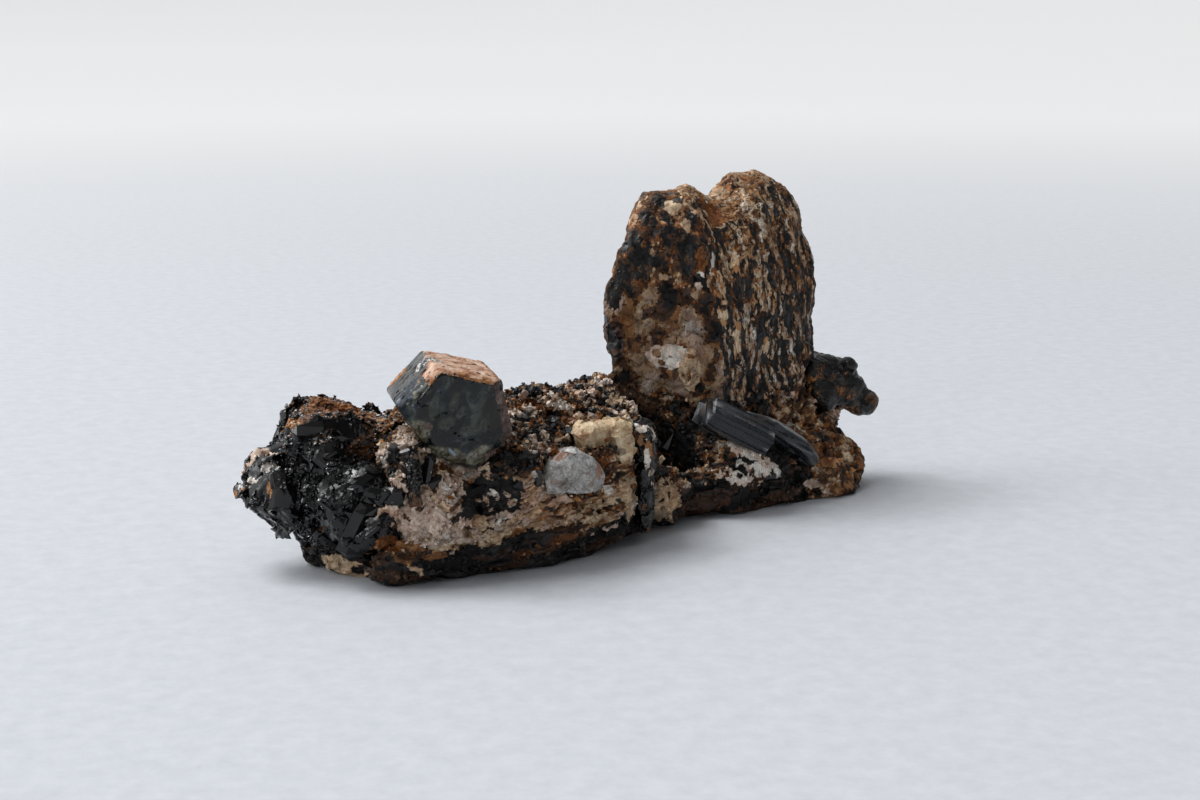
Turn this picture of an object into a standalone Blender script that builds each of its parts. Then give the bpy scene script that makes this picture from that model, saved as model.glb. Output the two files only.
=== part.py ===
"""Aquamarine crystal on its rock matrix, with black tourmaline, feldspar and quartz.

Metres, +Z up. +X runs along the specimen's length and the viewer stands on the -Y side.
Points of the lumps are in millimetres; CENTRE_X and CENTRE_Y say where the specimen's middle lies in them.
"""
import math

import bmesh
import bpy
from mathutils import Matrix, Vector, noise

# Driving dimensions
SPECIMEN_LENGTH = 0.0772
DRAWN_LENGTH = 77.2
MM = SPECIMEN_LENGTH / DRAWN_LENGTH
CENTRE_X = 1.2
CENTRE_Y = 3.1
GAP = 0.0003
SEAT_SLACK = 0.00015

# The noise that leans the broken blocks starts from this, so each build comes out the same
NOISE_SEED = 11

# Grain of the modelling, in metres
ROCK_VOXEL = 0.00075
CRYSTAL_VOXEL = 0.0005
THIN_VOXEL = 0.0004
FELDSPAR_VOXEL = 0.00035

# Triangles left in each rough piece, and in the copy of it that cuts its seat
TRIANGLES = {
    "matrix": 4900,
    "schorl_mass": 1400,
    "end_crystal": 360,
    "schorl_blade": 130,
    "schorl_plate": 200,
    "feldspar_crystal": 260,
    "knob_cluster": 680,
}
SEAT_TRIANGLES = {
    "schorl_mass": 460,
    "end_crystal": 160,
    "schorl_blade": 100,
    "schorl_plate": 160,
    "feldspar_crystal": 140,
    "knob_cluster": 360,
}
MASS_IN_END_TRIANGLES = 800

# How a skin breaks into blocks: pattern number, then size, step and lean in millimetres
ROCK_BREAKS = [(2, 3.6, 1.7, 1.3), (4, 1.9, 0.9, 1.2)]
MASS_BREAKS = [(3, 2.6, 1.2, 1.4), (7, 1.4, 0.5, 0.8)]
END_BREAKS = [(5, 2.2, 0.7, 1.0)]
KNOB_BREAKS = [(11, 1.6, 0.9, 1.0)]
# Slower swells of a skin: pattern number, then pairs of size and height in millimetres
PLATE_SWELLS = (6, [(1.8, 0.5)])
FELDSPAR_SWELLS = (8, [(1.6, 0.25)])

# The slab's faces: where they start and meet, and the size and depth of their relief in millimetres
SLAB_START = 10.0
SLAB_RISE = 6.0
SLAB_RIDGE = 16.4
RIDGE_WIDTH = 2.0
EVEN_START = 13.0
EVEN_RISE = 4.0
EVEN_SHARE = 0.5
GROOVE_SIZE = (1.3, 3.0, 9.0)
GROOVE_DEPTH = 0.6
COURSE_SIZE = (2.2, 2.2, 1.9)
COURSE_DEPTH = 0.5
LAYER_SIZE = (9.0, 9.0, 1.7)
LAYER_DEPTH = 0.9

NAME = "aquamarine_specimen"


# Lumps: rings of plan points (x, y) at a height z, all in millimetres

FRONT_BLOCK = {
    0.0: [(-27, -7), (-21, -10.2), (-10, -10.2), (-3, -7), (1, -3.5), (2, 9), (-25, 9)],
    4.5: [(-28, -9), (-22, -12.3), (-11, -12.2), (-3, -9.6), (1.5, -7.2), (3, 8)],
    8.0: [(-28, -9), (-22, -11.8), (-11, -11.3), (-3.5, -9.4), (1.5, -6.6)],
    11.2: [(-26, -8.6), (-19, -10), (-9, -9.6), (-3, -8.2), (1.5, -5.6), (3, 9), (-25, 8)],
}
LEFT_FOOT = {
    0.0: [(-29.6, 3.4), (-29.0, -2), (-26, -8), (-22, -9.5), (-20, 9), (-28, 9)],
    2.2: [(-31, 1.6), (-30.6, -3), (-28.2, -9.2), (-24, -11.7), (-20, 9), (-29.4, 8)],
    3.6: [(-31, 1.8), (-28.2, -9.2), (-23, -11.6), (-20, 9), (-29, 8)],
}
BACK_LEFT = {
    0.0: [(-28, 8), (-20, 11.5), (-8, 12.5), (-8, 4), (-26, 2)],
    6.0: [(-29.5, 8), (-26.5, 11), (-18, 14), (-8, 14.5), (-8, 2)],
    12.0: [(-27, 7), (-20, 11), (-9, 12), (-9, 0), (-24, 2)],
}
LEFT_WALL = {
    3.0: [(-29, -9.4), (-23, -12), (-20, -8), (-26, -4)],
    9.0: [(-27.6, -9.4), (-23, -11.4), (-19, -8), (-25, -3)],
    13.2: [(-26, -8.4), (-23.6, -8.9), (-21, -6), (-24, -3)],
}
SADDLE = {
    8.0: [(-26, -4), (-24, 8), (-10, 10), (-10, -8), (-20, -9.4)],
    13.4: [(-24.5, -3), (-22.5, 6), (-12, 7.5), (-11.5, -6), (-20, -6.5)],
}
MID_MOUND = {
    8.0: [(-12, -8), (4, -6), (6, 12), (-12, 13)],
    12.4: [(-12, -7), (-2, -7), (3, -3), (6, 10.5), (-11, 10.5)],
    14.3: [(-10.5, 1), (-4, -0.5), (2.5, 3), (5.5, 9), (-3, 8), (-9.5, 4.5)],
}
MOUND_KNOBS = [
    {13.0: [(-11, -0.6), (-6.6, -1.2), (-4.4, 2), (-7, 4.4), (-11, 3.6)],
     15.7: [(-10, 0.8), (-6.6, 0.4), (-6, 2.4), (-8.6, 3.2)]},
    {13.0: [(-3.6, 3), (0.2, 2.4), (1.4, 6), (-2.6, 7)],
     15.1: [(-2.4, 4), (-0.2, 3.6), (0, 5.6), (-2, 6)]},
    {13.0: [(0.6, 4.6), (4.6, 5), (6.6, 9.4), (2, 10)],
     16.3: [(3.2, 7), (5.8, 7.6), (5.6, 9), (3.4, 8.8)]},
    {11.0: [(-3.4, -5.4), (-0.4, -5), (-0.6, -2.4), (-3.6, -2.6)],
     13.7: [(-2.8, -4.6), (-1.2, -4.4), (-1.4, -3), (-3, -3.2)]},
]
NECK = {
    0.6: [(2, -3), (9, -1.2), (12, 0), (12, 14), (2, 13)],
    4.5: [(2, -5.8), (5, -5), (9, -3), (12, -1.2), (12, 15), (3, 14)],
    7.0: [(3, -4.6), (6, -3.8), (9, -1.2), (12, 3), (12, 14), (4, 13)],
}
RIGHT_BASE = {
    0.0: [(9, 0.3), (14, 0.2), (23, 0.2), (30, 2.2), (32.5, 10), (26, 16), (10, 15)],
    2.0: [(9, -1.8), (15, -1.6), (22.5, -1.2), (31, 1.2), (34.5, 5), (35, 11), (27, 18), (9, 16.5)],
    8.2: [(14, 1.4), (20, 1), (27, 3), (31.4, 6.4), (32, 13), (26, 17), (10, 15), (11, 5)],
}
RIGHT_END = {
    0.2: [(30, 1.6), (34, 3.4), (34, 9), (29, 10)],
    2.2: [(30.6, 1.2), (35.4, 4), (36, 10), (30, 12)],
    5.0: [(29, 2.8), (34.4, 5.6), (35, 11), (30, 12)],
    6.2: [(29, 4.8), (32.6, 7.6), (31, 12)],
}
RIGHT_SHELF = {
    7.9: [(29, 7.4), (35.2, 7.4), (35, 12), (30, 13)],
    9.6: [(29, 6.0), (37.2, 7.4), (37, 12), (30, 14)],
}
SLAB_FOOT = {
    4.0: [(10, 6.8), (14.5, 5.2), (30, 7.4), (32, 15), (10, 15)],
    9.0: [(7.6, 8.4), (15.6, 4.2), (31.2, 7.8), (32, 14.6), (28, 17), (10, 15.5)],
    14.0: [(6.9, 9), (15.9, 3.5), (31.9, 9), (32.6, 14), (28, 17), (10, 15.5)],
}
SLAB_HEEL = {
    3.0: [(3, 5), (10, 7), (12, 15), (4, 14)],
    12.6: [(3.6, 7.6), (9, 9), (11, 14.6), (5, 13)],
}
SLAB_BACK_SCALES = [
    {6.0: [(12, 14), (24, 15), (24, 18.2), (13, 17.4)],
     25.0: [(12.6, 13), (22, 14), (22, 17.8), (14, 17.2)]},
    {17.0: [(21, 14), (31.4, 13.6), (30.4, 17.4), (22, 18.2)],
     32.6: [(22, 14), (30.6, 14), (29.8, 17), (23, 17.8)]},
]
SLAB_BODY = {
    12.0: [(7.2, 9), (15.9, 3.4), (31.7, 8.8), (33, 14), (28, 17), (10, 15.5)],
    20.0: [(5.2, 9), (6.4, 11), (16.2, 4.2), (32.9, 10.4), (33.4, 14), (28, 16.4), (9.8, 14.6)],
    24.0: [(4.8, 9), (6.2, 11), (16.5, 4.8), (33.1, 11.2), (33.3, 14), (9.8, 14.6)],
}
SLAB_LEFT_LOBE = {
    22.0: [(4.8, 9), (16.4, 4.6), (18.5, 14.5), (9.6, 14.6)],
    28.0: [(6.6, 9), (15.8, 6), (18.2, 8), (18.5, 14.5), (10.2, 14.5)],
    32.4: [(9.2, 9.8), (15.4, 8.2), (18.2, 9.8), (18.4, 14), (12, 14)],
    34.1: [(11.6, 11), (15.4, 10.4), (19.2, 12), (18.8, 13.6), (13, 13.4)],
}
SLAB_RIGHT_LOBE = {
    22.0: [(16.4, 4.6), (33.0, 11), (33.2, 14.2), (28, 16.4), (17, 15)],
    28.0: [(17.6, 6.8), (24, 8.2), (32.4, 12), (32.2, 14.8), (27, 17), (18, 15.5)],
    32.0: [(20.0, 9.8), (25, 10), (32.2, 13), (32.4, 15.2), (26, 17.2), (20, 15.5)],
    34.2: [(21.4, 12.6), (26, 12.8), (31, 14.8), (29.8, 16.6), (22.6, 16.4)],
    35.6: [(23.4, 14.6), (27, 14.4), (27.6, 16.4), (24.2, 16.6)],
}
SLAB_SHOULDER = {
    15.0: [(29, 8.2), (32.3, 9.6), (33.4, 12.5), (30, 15)],
    23.0: [(30, 9.8), (33.4, 11.4), (33.9, 13.6), (30, 15)],
    27.2: [(31, 11), (33.3, 12), (33.6, 13.8), (31, 15)],
}

# Hollows, cut out of the lumps above
SLAB_UNDERCUT = {
    3.8: [(6, 2.6), (9, -0.8), (12.6, 0), (12.2, 3.6), (8.4, 4.4)],
    6.4: [(5, 2), (8, -4), (13.6, -1.6), (13.2, 4.4), (8, 6)],
    10.6: [(5.2, 1.6), (8, -4), (13.6, -0.6), (13.4, 4.0), (8, 6.4)],
    12.8: [(7.4, 2.6), (9, 2), (12.4, 3), (11.8, 4.8), (8.8, 5.8)],
}
END_RECESS = {
    5.4: [(32.4, 3), (40, 4), (40, 12), (33.4, 9.4)],
    7.8: [(29.4, 3.4), (40, 4), (40, 12), (31.6, 9)],
}
FRONT_GULLY = {
    11.0: [(-12.6, -12), (-9.4, -12), (-9.8, -7.6), (-12.4, -7.6)],
    15.0: [(-13, -12), (-8.8, -12), (-9, -6), (-12.8, -6)],
}
TOP_TROUGH = {
    27.0: [(17.2, 5.4), (18.4, 5.4), (18, 6.6)],
    31.0: [(15.8, 4), (20.4, 4), (19.6, 9.6), (17.2, 9.6)],
    34.0: [(15.4, 4), (21.4, 4), (20.4, 11.6), (17.2, 11.6)],
}

# Black tourmaline mass at the left end
MASS_CORE = {
    3.3: [(-32.2, -1), (-28.9, -9.4), (-26.4, -9.2), (-25.5, 3), (-31, 5)],
    8.6: [(-33.5, -2), (-31.2, -8.8), (-27.8, -10.2), (-25.6, -8), (-25, 4), (-32, 6)],
    12.5: [(-33.4, -3), (-31.9, -6.4), (-28.5, -6.6), (-25, -3), (-25, 5), (-31.5, 6.5)],
    15.0: [(-33, -0.6), (-31, -3.6), (-27, -2.2), (-24.8, 5.6), (-29.5, 7.8), (-32, 4)],
}
MASS_SHOULDER = {
    10.5: [(-28, -4), (-24.4, -4), (-22, 1), (-22.4, 5), (-27, 6)],
    13.9: [(-28, -4.6), (-24.2, -4.6), (-21.8, 1), (-22.2, 5), (-27, 6)],
}
MASS_FACET = {
    3.0: [(-29.4, -9.2), (-27, -10), (-26, -8), (-28.6, -6)],
    9.6: [(-29.8, -9.4), (-26.2, -10.6), (-25.2, -8.4), (-28.6, -6)],
}
MASS_RECESS = {
    10.6: [(-30.6, -10), (-23, -10), (-23, -3.8), (-28.6, -3.6)],
    12.7: [(-30.2, -10), (-23, -10), (-23, -3.4), (-28.6, -3.2)],
}
MASS_CAVITY = {
    8.8: [(-34.4, -6.6), (-31.4, -7), (-30.8, -4.8), (-33.6, -3.4)],
    11.6: [(-34.6, -6), (-31.8, -6.6), (-31, -4.6), (-33.8, -3)],
}

# Crystal at the far left, with its feldspar crust
END_CORE = {
    4.6: [(-34.0, 2), (-33.4, -2), (-31, 3)],
    7.2: [(-37.6, 2), (-36.2, -2), (-34.8, -4), (-31, -3), (-31, 5), (-36, 4.6)],
    9.2: [(-37, 2.4), (-36.4, -1), (-35.2, -3.4), (-31, -3), (-31, 5.4), (-36, 5)],
    11.0: [(-35.6, 3), (-34.4, -0.6), (-31, -0.6), (-31, 5.4), (-34.6, 5)],
    12.0: [(-33.4, 3.6), (-32.4, 1), (-30.6, 1), (-30.6, 5)],
}

# Knobbly black cluster at the right end: centre (x, y, z) and radius of each knob
KNOBS = [
    (32.4, 10.0, 12.6, 2.1),
    (34.2, 10.8, 13.0, 1.8),
    (35.8, 9.6, 12.3, 1.8),
    (36.7, 9.0, 11.0, 1.4),
    (33.8, 8.4, 11.3, 1.7),
    (35.5, 7.9, 10.2, 1.4),
    (32.6, 12.4, 13.0, 1.8),
    (37.0, 11.0, 11.2, 1.5),
    (31.8, 8.0, 10.2, 1.4),
]
HORN = {
    7.6: [(36.4, 8.6), (38.8, 7.6), (39.0, 8.8)],
    8.8: [(36.0, 7.6), (39.7, 7.2), (39.9, 8.8), (36.4, 9.8)],
    10.2: [(36.6, 8.4), (39.5, 7.6), (39.4, 9.0), (36.8, 9.6)],
}

# Blocky feldspar crystal on the front ledge: a bar and a leg
FELDSPAR_BAR = {
    11.2: [(-6.0, -8.3), (-0.6, -7.6), (0.6, -5.4), (-5.4, -5.2)],
    13.2: [(-6.3, -8.1), (-0.6, -7.4), (0.4, -5.2), (-5.8, -5)],
}
FELDSPAR_LEG = {
    9.6: [(-2.6, -8.9), (-0.4, -8.2), (0.4, -6), (-2.4, -6)],
    12.8: [(-2.6, -8.7), (-0.4, -7.6), (0.5, -5.4), (-2.4, -5.4)],
}

# Quartz crystal: outline of its broad flat face and of the buried back
QUARTZ_FACE = [(-11.4, -11.9, 10.2), (-8.6, -10.9, 12.0), (-6.4, -10.6, 11.0), (-4.9, -10.3, 9.5),
               (-4.9, -10.4, 8.0), (-6.9, -11.2, 7.6), (-11.2, -12.2, 8.3)]
QUARTZ_RIDGE = [(-8.6, -11.9, 9.7), (-6.0, -11.2, 9.0)]
QUARTZ_BACK = [(-10.6, -8.2, 10.2), (-8.4, -7.8, 11.4), (-5.2, -7.4, 9.4), (-10.4, -8.2, 7.8)]

# Upright tourmaline plate at the right of the front block
PLATE = {
    1.8: [(0.4, -8.0), (1.8, -7.9), (3.2, -4.2), (1.8, -3.4)],
    7.0: [(0.6, -8.1), (2.4, -7.7), (3.8, -4.2), (2.0, -3.4)],
    12.0: [(1.0, -7.0), (3.0, -6.3), (4.2, -3.4), (2.4, -2.6)],
}
PLATE_CAP = {
    10.4: [(-0.4, -6.8), (2.6, -6.8), (4.4, -3.2), (2.0, -2.6)],
    12.5: [(0.2, -6.2), (2.4, -6.0), (3.8, -3.4), (2.0, -3.0)],
}

# Aquamarine: corners of its end face and of the prism, in the plane across its axis
AQUAMARINE_NEAR = Vector((-19.2, -9.6, 15.9))
AQUAMARINE_AXIS = Vector((-0.22, -0.975, -0.02))
AQUAMARINE_FACE = [(-2.2, 4.5), (2.7, 3.2), (3.6, -1.5), (0.9, -4.1), (-2.6, -2.8), (-4.7, 1.4)]
AQUAMARINE_PRISM = [(-2.5, 4.8), (3.5, 3.4), (4.6, -1.8), (1.3, -5.1), (-3.1, -3.7), (-6.0, 1.2)]
AQUAMARINE_BEVEL = 1.0
AQUAMARINE_DEPTH = 8.6

# Prisms and needles: centre of each end in millimetres, and radius
PRISM_LEFT = Vector((13.3, 0.8, 11.6))
PRISM_RIGHT = Vector((19.6, -0.1, 7.9))
PRISM_RADIUS = 1.9
PRISM_ROLL = 0.2
BLADE_POINTS = [(17.6, 2.2, 10.3), (21.4, 1.7, 9.0), (24.2, 1.2, 7.0), (26.2, 0.9, 4.8)]
BLADE_WIDTH = 1.3
BLADE_DEPTH = 1.2
BLADE_FACING = Vector((0.3, -1.0, 0.2))
NEEDLE_TOP = Vector((-24.4, -9.5, 13.5))
NEEDLE_FOOT = Vector((-24.9, -11.6, 8.2))
NEEDLE_RADIUS = 0.75
NEEDLE_ROLL = 0.4
PRISM_SIDES = 6

RESTING_DEPTH = 0.6

LOOKS = {
    "matrix": ((0.30, 0.19, 0.12), 0.9),
    "schorl_mass": ((0.015, 0.016, 0.018), 0.25),
    "end_crystal": ((0.05, 0.045, 0.04), 0.35),
    "aquamarine": ((0.12, 0.20, 0.22), 0.15),
    "schorl_prism": ((0.03, 0.035, 0.042), 0.45),
    "schorl_blade": ((0.03, 0.034, 0.04), 0.45),
    "schorl_plate": ((0.02, 0.026, 0.035), 0.35),
    "schorl_needle": ((0.012, 0.012, 0.014), 0.2),
    "feldspar_crystal": ((0.62, 0.44, 0.26), 0.7),
    "quartz_crystal": ((0.45, 0.44, 0.43), 0.4),
    "knob_cluster": ((0.03, 0.028, 0.026), 0.5),
}


def clear_scene():
    for found in list(bpy.data.objects):
        bpy.data.objects.remove(found, do_unlink=True)


def new_collection(title):
    made = bpy.data.collections.new(title)
    bpy.context.scene.collection.children.link(made)
    return made


def place(x, y, z):
    """A drawn point in millimetres as a position in metres about the specimen's centre."""
    return Vector((x - CENTRE_X, y - CENTRE_Y, z)) * MM


def finish_mesh(shape, title, home):
    bmesh.ops.recalc_face_normals(shape, faces=shape.faces)
    mesh = bpy.data.meshes.new(title)
    shape.to_mesh(mesh)
    shape.free()
    made = bpy.data.objects.new(title, mesh)
    home.objects.link(made)
    return made


def add_hull(shape, points):
    """Adds the convex hull of the points to the shape."""
    corners = [shape.verts.new(point) for point in points]
    made = bmesh.ops.convex_hull(shape, input=corners)
    inside = [item for item in made["geom_interior"] if isinstance(item, bmesh.types.BMVert)]
    bmesh.ops.delete(shape, geom=inside, context="VERTS")


def ring_points(rings):
    return [place(x, y, z) for z, plan in rings.items() for x, y in plan]


def lumps_object(title, home, lumps):
    shape = bmesh.new()
    for rings in lumps:
        add_hull(shape, ring_points(rings))
    return finish_mesh(shape, title, home)


def apply_modifier(body, kind, **settings):
    step = body.modifiers.new(kind, kind)
    for setting, value in settings.items():
        setattr(step, setting, value)
    graph = bpy.context.evaluated_depsgraph_get()
    mesh = bpy.data.meshes.new_from_object(body.evaluated_get(graph))
    body.modifiers.clear()
    body.data = mesh
    mesh.name = body.name


def fuse(body, voxel):
    """Makes one closed skin round lumps that overlap."""
    apply_modifier(body, "REMESH", mode="VOXEL", voxel_size=voxel)


def cut(body, cutter):
    apply_modifier(body, "BOOLEAN", object=cutter, operation="DIFFERENCE", solver="EXACT")


def thin_out(body, triangles):
    """Leaves the given number of triangles."""
    body.data.calc_loop_triangles()
    share = min(1.0, triangles / len(body.data.loop_triangles))
    apply_modifier(body, "DECIMATE", ratio=share, use_collapse_triangulate=True)


def keep_largest(body):
    """Drops crumbs that a cut has left loose."""
    shape = bmesh.new()
    shape.from_mesh(body.data)
    unseen = set(shape.verts)
    islands = []
    while unseen:
        stack = [unseen.pop()]
        island = list(stack)
        while stack:
            for edge in stack.pop().link_edges:
                for corner in edge.verts:
                    if corner in unseen:
                        unseen.remove(corner)
                        stack.append(corner)
                        island.append(corner)
        islands.append(island)
    islands.sort(key=len)
    crumbs = [corner for island in islands[:-1] for corner in island]
    bmesh.ops.delete(shape, geom=crumbs, context="VERTS")
    shape.to_mesh(body.data)
    shape.free()


def grown_copy(body, home, grow, triangles=None):
    """A copy whose skin stands off by the given distance, for cutting a seat.

    A rough piece's copy is thinned out to some triangles, and has slack for what that shaves off.
    """
    made = body.copy()
    made.data = body.data.copy()
    made.name = body.name + "_seat"
    home.objects.link(made)
    shape = bmesh.new()
    shape.from_mesh(made.data)
    shape.normal_update()
    reach = grow + SEAT_SLACK if triangles else grow
    moves = [corner.normal * reach * min(corner.calc_shell_factor(), 1.6) for corner in shape.verts]
    for corner, move in zip(shape.verts, moves):
        corner.co += move
    shape.to_mesh(made.data)
    shape.free()
    if triangles:
        fuse(made, CRYSTAL_VOXEL)
        thin_out(made, triangles)
    return made


def roughen(body, seed, waves):
    """Moves the skin along its normals by noise, for each size and height of the waves."""
    shape = bmesh.new()
    shape.from_mesh(body.data)
    shape.normal_update()
    shift = Vector((seed * 17.3, seed * 9.1, seed * 5.7))
    moves = []
    for corner in shape.verts:
        height = 0.0
        for size, depth in waves:
            height += depth * MM * noise.noise(corner.co / (size * MM) + shift)
        moves.append(corner.normal * height)
    for corner, move in zip(shape.verts, moves):
        corner.co += move
    shape.to_mesh(body.data)
    shape.free()


def evenness(spot):
    """How far the skin may break: less on the flat faces of the standing slab."""
    return 1.0 - EVEN_SHARE * min(1.0, max(0.0, (spot.z / MM - EVEN_START) / EVEN_RISE))


def break_up(body, seed, size, step, tilt):
    """Breaks the skin into blocks of the given size that stand out or back and lean."""
    shape = bmesh.new()
    shape.from_mesh(body.data)
    shape.normal_update()
    shift = Vector((seed * 3.7, seed * 1.9, seed * 2.3))
    moves = []
    for corner in shape.verts:
        spot = corner.co / (size * MM) + shift
        middle = noise.voronoi(spot)[1][0]
        lean = noise.noise_vector(middle * 7.1)
        height = step * noise.noise(middle * 5.3 + shift) + tilt * lean.dot(spot - middle)
        moves.append(corner.normal * height * MM * evenness(corner.co))
    for corner, move in zip(shape.verts, moves):
        corner.co += move
    shape.to_mesh(body.data)
    shape.free()


def stretched_noise(spot, size):
    """Noise at a point, with features of the given size in millimetres along X, Y and Z."""
    return noise.noise(Vector([place_along / (side * MM) for place_along, side in zip(spot, size)]))


def groove_slab(body):
    """Upright grooves down the slab's right face, courses across its left face, layers below."""
    shape = bmesh.new()
    shape.from_mesh(body.data)
    shape.normal_update()
    low = SLAB_START * MM
    ridge = place(SLAB_RIDGE, 0, 0).x
    moves = []
    for corner in shape.verts:
        spot = corner.co
        facing = max(0.0, -corner.normal.y)
        rise = min(1.0, max(0.0, (spot.z - low) / (SLAB_RISE * MM)))
        side = min(1.0, max(0.0, (spot.x - ridge) / (RIDGE_WIDTH * MM)))
        grooves = GROOVE_DEPTH * stretched_noise(spot, GROOVE_SIZE) * side
        courses = COURSE_DEPTH * stretched_noise(spot, COURSE_SIZE) * (1.0 - side)
        layers = LAYER_DEPTH * stretched_noise(spot, LAYER_SIZE)
        height = (grooves + courses) * rise + layers * (1.0 - rise)
        moves.append(corner.normal * height * MM * facing)
    for corner, move in zip(shape.verts, moves):
        corner.co += move
    shape.to_mesh(body.data)
    shape.free()


def make_cutter(title, home, rings):
    return lumps_object(title, home, [rings])


def box_under(home, top):
    """A block whose top lies at the given height, under the whole specimen."""
    size = 2.0 * SPECIMEN_LENGTH
    bpy.ops.mesh.primitive_cube_add(size=1, location=(0, 0, top - 0.5 * size))
    block = bpy.context.object
    block.name = "under_block"
    block.scale = (size, size, size)
    bpy.context.view_layer.update()
    block.data.transform(block.matrix_world)
    block.matrix_world = Matrix.Identity(4)
    for used in list(block.users_collection):
        used.objects.unlink(block)
    home.objects.link(block)
    return block


def make_schorl_mass(home, tools):
    mass = lumps_object("schorl_mass", home, [MASS_CORE, MASS_SHOULDER, MASS_FACET])
    fuse(mass, CRYSTAL_VOXEL)
    cut(mass, make_cutter("mass_recess", tools, MASS_RECESS))
    cut(mass, make_cutter("mass_cavity", tools, MASS_CAVITY))
    fuse(mass, CRYSTAL_VOXEL)
    for pattern in MASS_BREAKS:
        break_up(mass, *pattern)
    fuse(mass, CRYSTAL_VOXEL)
    thin_out(mass, TRIANGLES["schorl_mass"])
    return mass


def make_end_crystal(home, tools, mass):
    end = lumps_object("end_crystal", home, [END_CORE])
    fuse(end, CRYSTAL_VOXEL)
    for pattern in END_BREAKS:
        break_up(end, *pattern)
    fuse(end, CRYSTAL_VOXEL)
    thin_out(end, TRIANGLES["end_crystal"])
    cut(end, grown_copy(mass, tools, GAP, MASS_IN_END_TRIANGLES))
    keep_largest(end)
    return end


def ring_frame(axis):
    """Two directions across an axis, the first one level."""
    across = axis.cross(Vector((0, 0, 1))).normalized()
    upward = across.cross(axis).normalized()
    return across, upward


def make_aquamarine(home):
    axis = AQUAMARINE_AXIS.normalized()
    across, upward = ring_frame(-axis)
    rings = [(AQUAMARINE_BEVEL, AQUAMARINE_FACE), (0.0, AQUAMARINE_PRISM),
             (-AQUAMARINE_DEPTH, AQUAMARINE_PRISM)]
    points = []
    for ahead, corners in rings:
        middle = AQUAMARINE_NEAR + axis * ahead
        points += [place(*(middle + across * side + upward * rise)) for side, rise in corners]
    shape = bmesh.new()
    add_hull(shape, points)
    return finish_mesh(shape, "aquamarine", home)


def make_prism(title, home, first, last, radius, roll):
    axis = (last - first).normalized()
    across, upward = ring_frame(axis)
    points = []
    for middle in (first, last):
        for side in range(PRISM_SIDES):
            angle = roll + math.tau * side / PRISM_SIDES
            spoke = across * math.cos(angle) + upward * math.sin(angle)
            points.append(place(*(middle + spoke * radius)))
    shape = bmesh.new()
    add_hull(shape, points)
    return finish_mesh(shape, title, home)


def make_blade(home):
    """A curved crystal: short straight pieces joined end to end."""
    shape = bmesh.new()
    depth = BLADE_FACING.normalized() * BLADE_DEPTH
    spots = [Vector(point) for point in BLADE_POINTS]
    for first, last in zip(spots, spots[1:]):
        rise = (last - first).cross(depth).normalized() * BLADE_WIDTH
        corners = [spot + side * rise + face * depth
                   for spot in (first, last) for side in (-0.5, 0.5) for face in (-1, 1)]
        add_hull(shape, [place(*corner) for corner in corners])
    blade = finish_mesh(shape, "schorl_blade", home)
    fuse(blade, THIN_VOXEL)
    thin_out(blade, TRIANGLES["schorl_blade"])
    return blade


def make_plate(home):
    plate = lumps_object("schorl_plate", home, [PLATE, PLATE_CAP])
    fuse(plate, THIN_VOXEL)
    roughen(plate, *PLATE_SWELLS)
    thin_out(plate, TRIANGLES["schorl_plate"])
    return plate


def make_quartz(home):
    shape = bmesh.new()
    add_hull(shape, [place(*point) for point in QUARTZ_FACE + QUARTZ_RIDGE + QUARTZ_BACK])
    return finish_mesh(shape, "quartz_crystal", home)


def make_feldspar(home):
    crystal = lumps_object("feldspar_crystal", home, [FELDSPAR_BAR, FELDSPAR_LEG])
    fuse(crystal, FELDSPAR_VOXEL)
    roughen(crystal, *FELDSPAR_SWELLS)
    thin_out(crystal, TRIANGLES["feldspar_crystal"])
    return crystal


def make_knobs(home):
    shape = bmesh.new()
    for x, y, z, radius in KNOBS:
        middle = Matrix.Translation(place(x, y, z))
        bmesh.ops.create_icosphere(shape, subdivisions=2, radius=radius * MM, matrix=middle)
    add_hull(shape, ring_points(HORN))
    cluster = finish_mesh(shape, "knob_cluster", home)
    fuse(cluster, CRYSTAL_VOXEL)
    for pattern in KNOB_BREAKS:
        break_up(cluster, *pattern)
    fuse(cluster, CRYSTAL_VOXEL)
    thin_out(cluster, TRIANGLES["knob_cluster"])
    return cluster


def make_matrix(home, tools, seats):
    rock = lumps_object("matrix", home, [
        FRONT_BLOCK, LEFT_FOOT, BACK_LEFT, LEFT_WALL, SADDLE, MID_MOUND, NECK, RIGHT_BASE,
        RIGHT_END, RIGHT_SHELF, SLAB_HEEL, SLAB_FOOT, SLAB_BODY, SLAB_LEFT_LOBE,
        SLAB_RIGHT_LOBE, SLAB_SHOULDER] + SLAB_BACK_SCALES + MOUND_KNOBS)
    fuse(rock, ROCK_VOXEL)
    for title, rings in (("slab_undercut", SLAB_UNDERCUT), ("end_recess", END_RECESS),
                         ("front_gully", FRONT_GULLY), ("top_trough", TOP_TROUGH)):
        cut(rock, make_cutter(title, tools, rings))
    fuse(rock, ROCK_VOXEL)
    for pattern in ROCK_BREAKS:
        break_up(rock, *pattern)
    groove_slab(rock)
    fuse(rock, ROCK_VOXEL)
    thin_out(rock, TRIANGLES["matrix"])
    for seat in seats:
        cut(rock, seat)
    cut(rock, box_under(tools, RESTING_DEPTH * MM))
    keep_largest(rock)
    return rock


def drop_to_floor(bodies):
    for body in bodies:
        body.data.transform(Matrix.Translation((0, 0, -RESTING_DEPTH * MM)))


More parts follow.
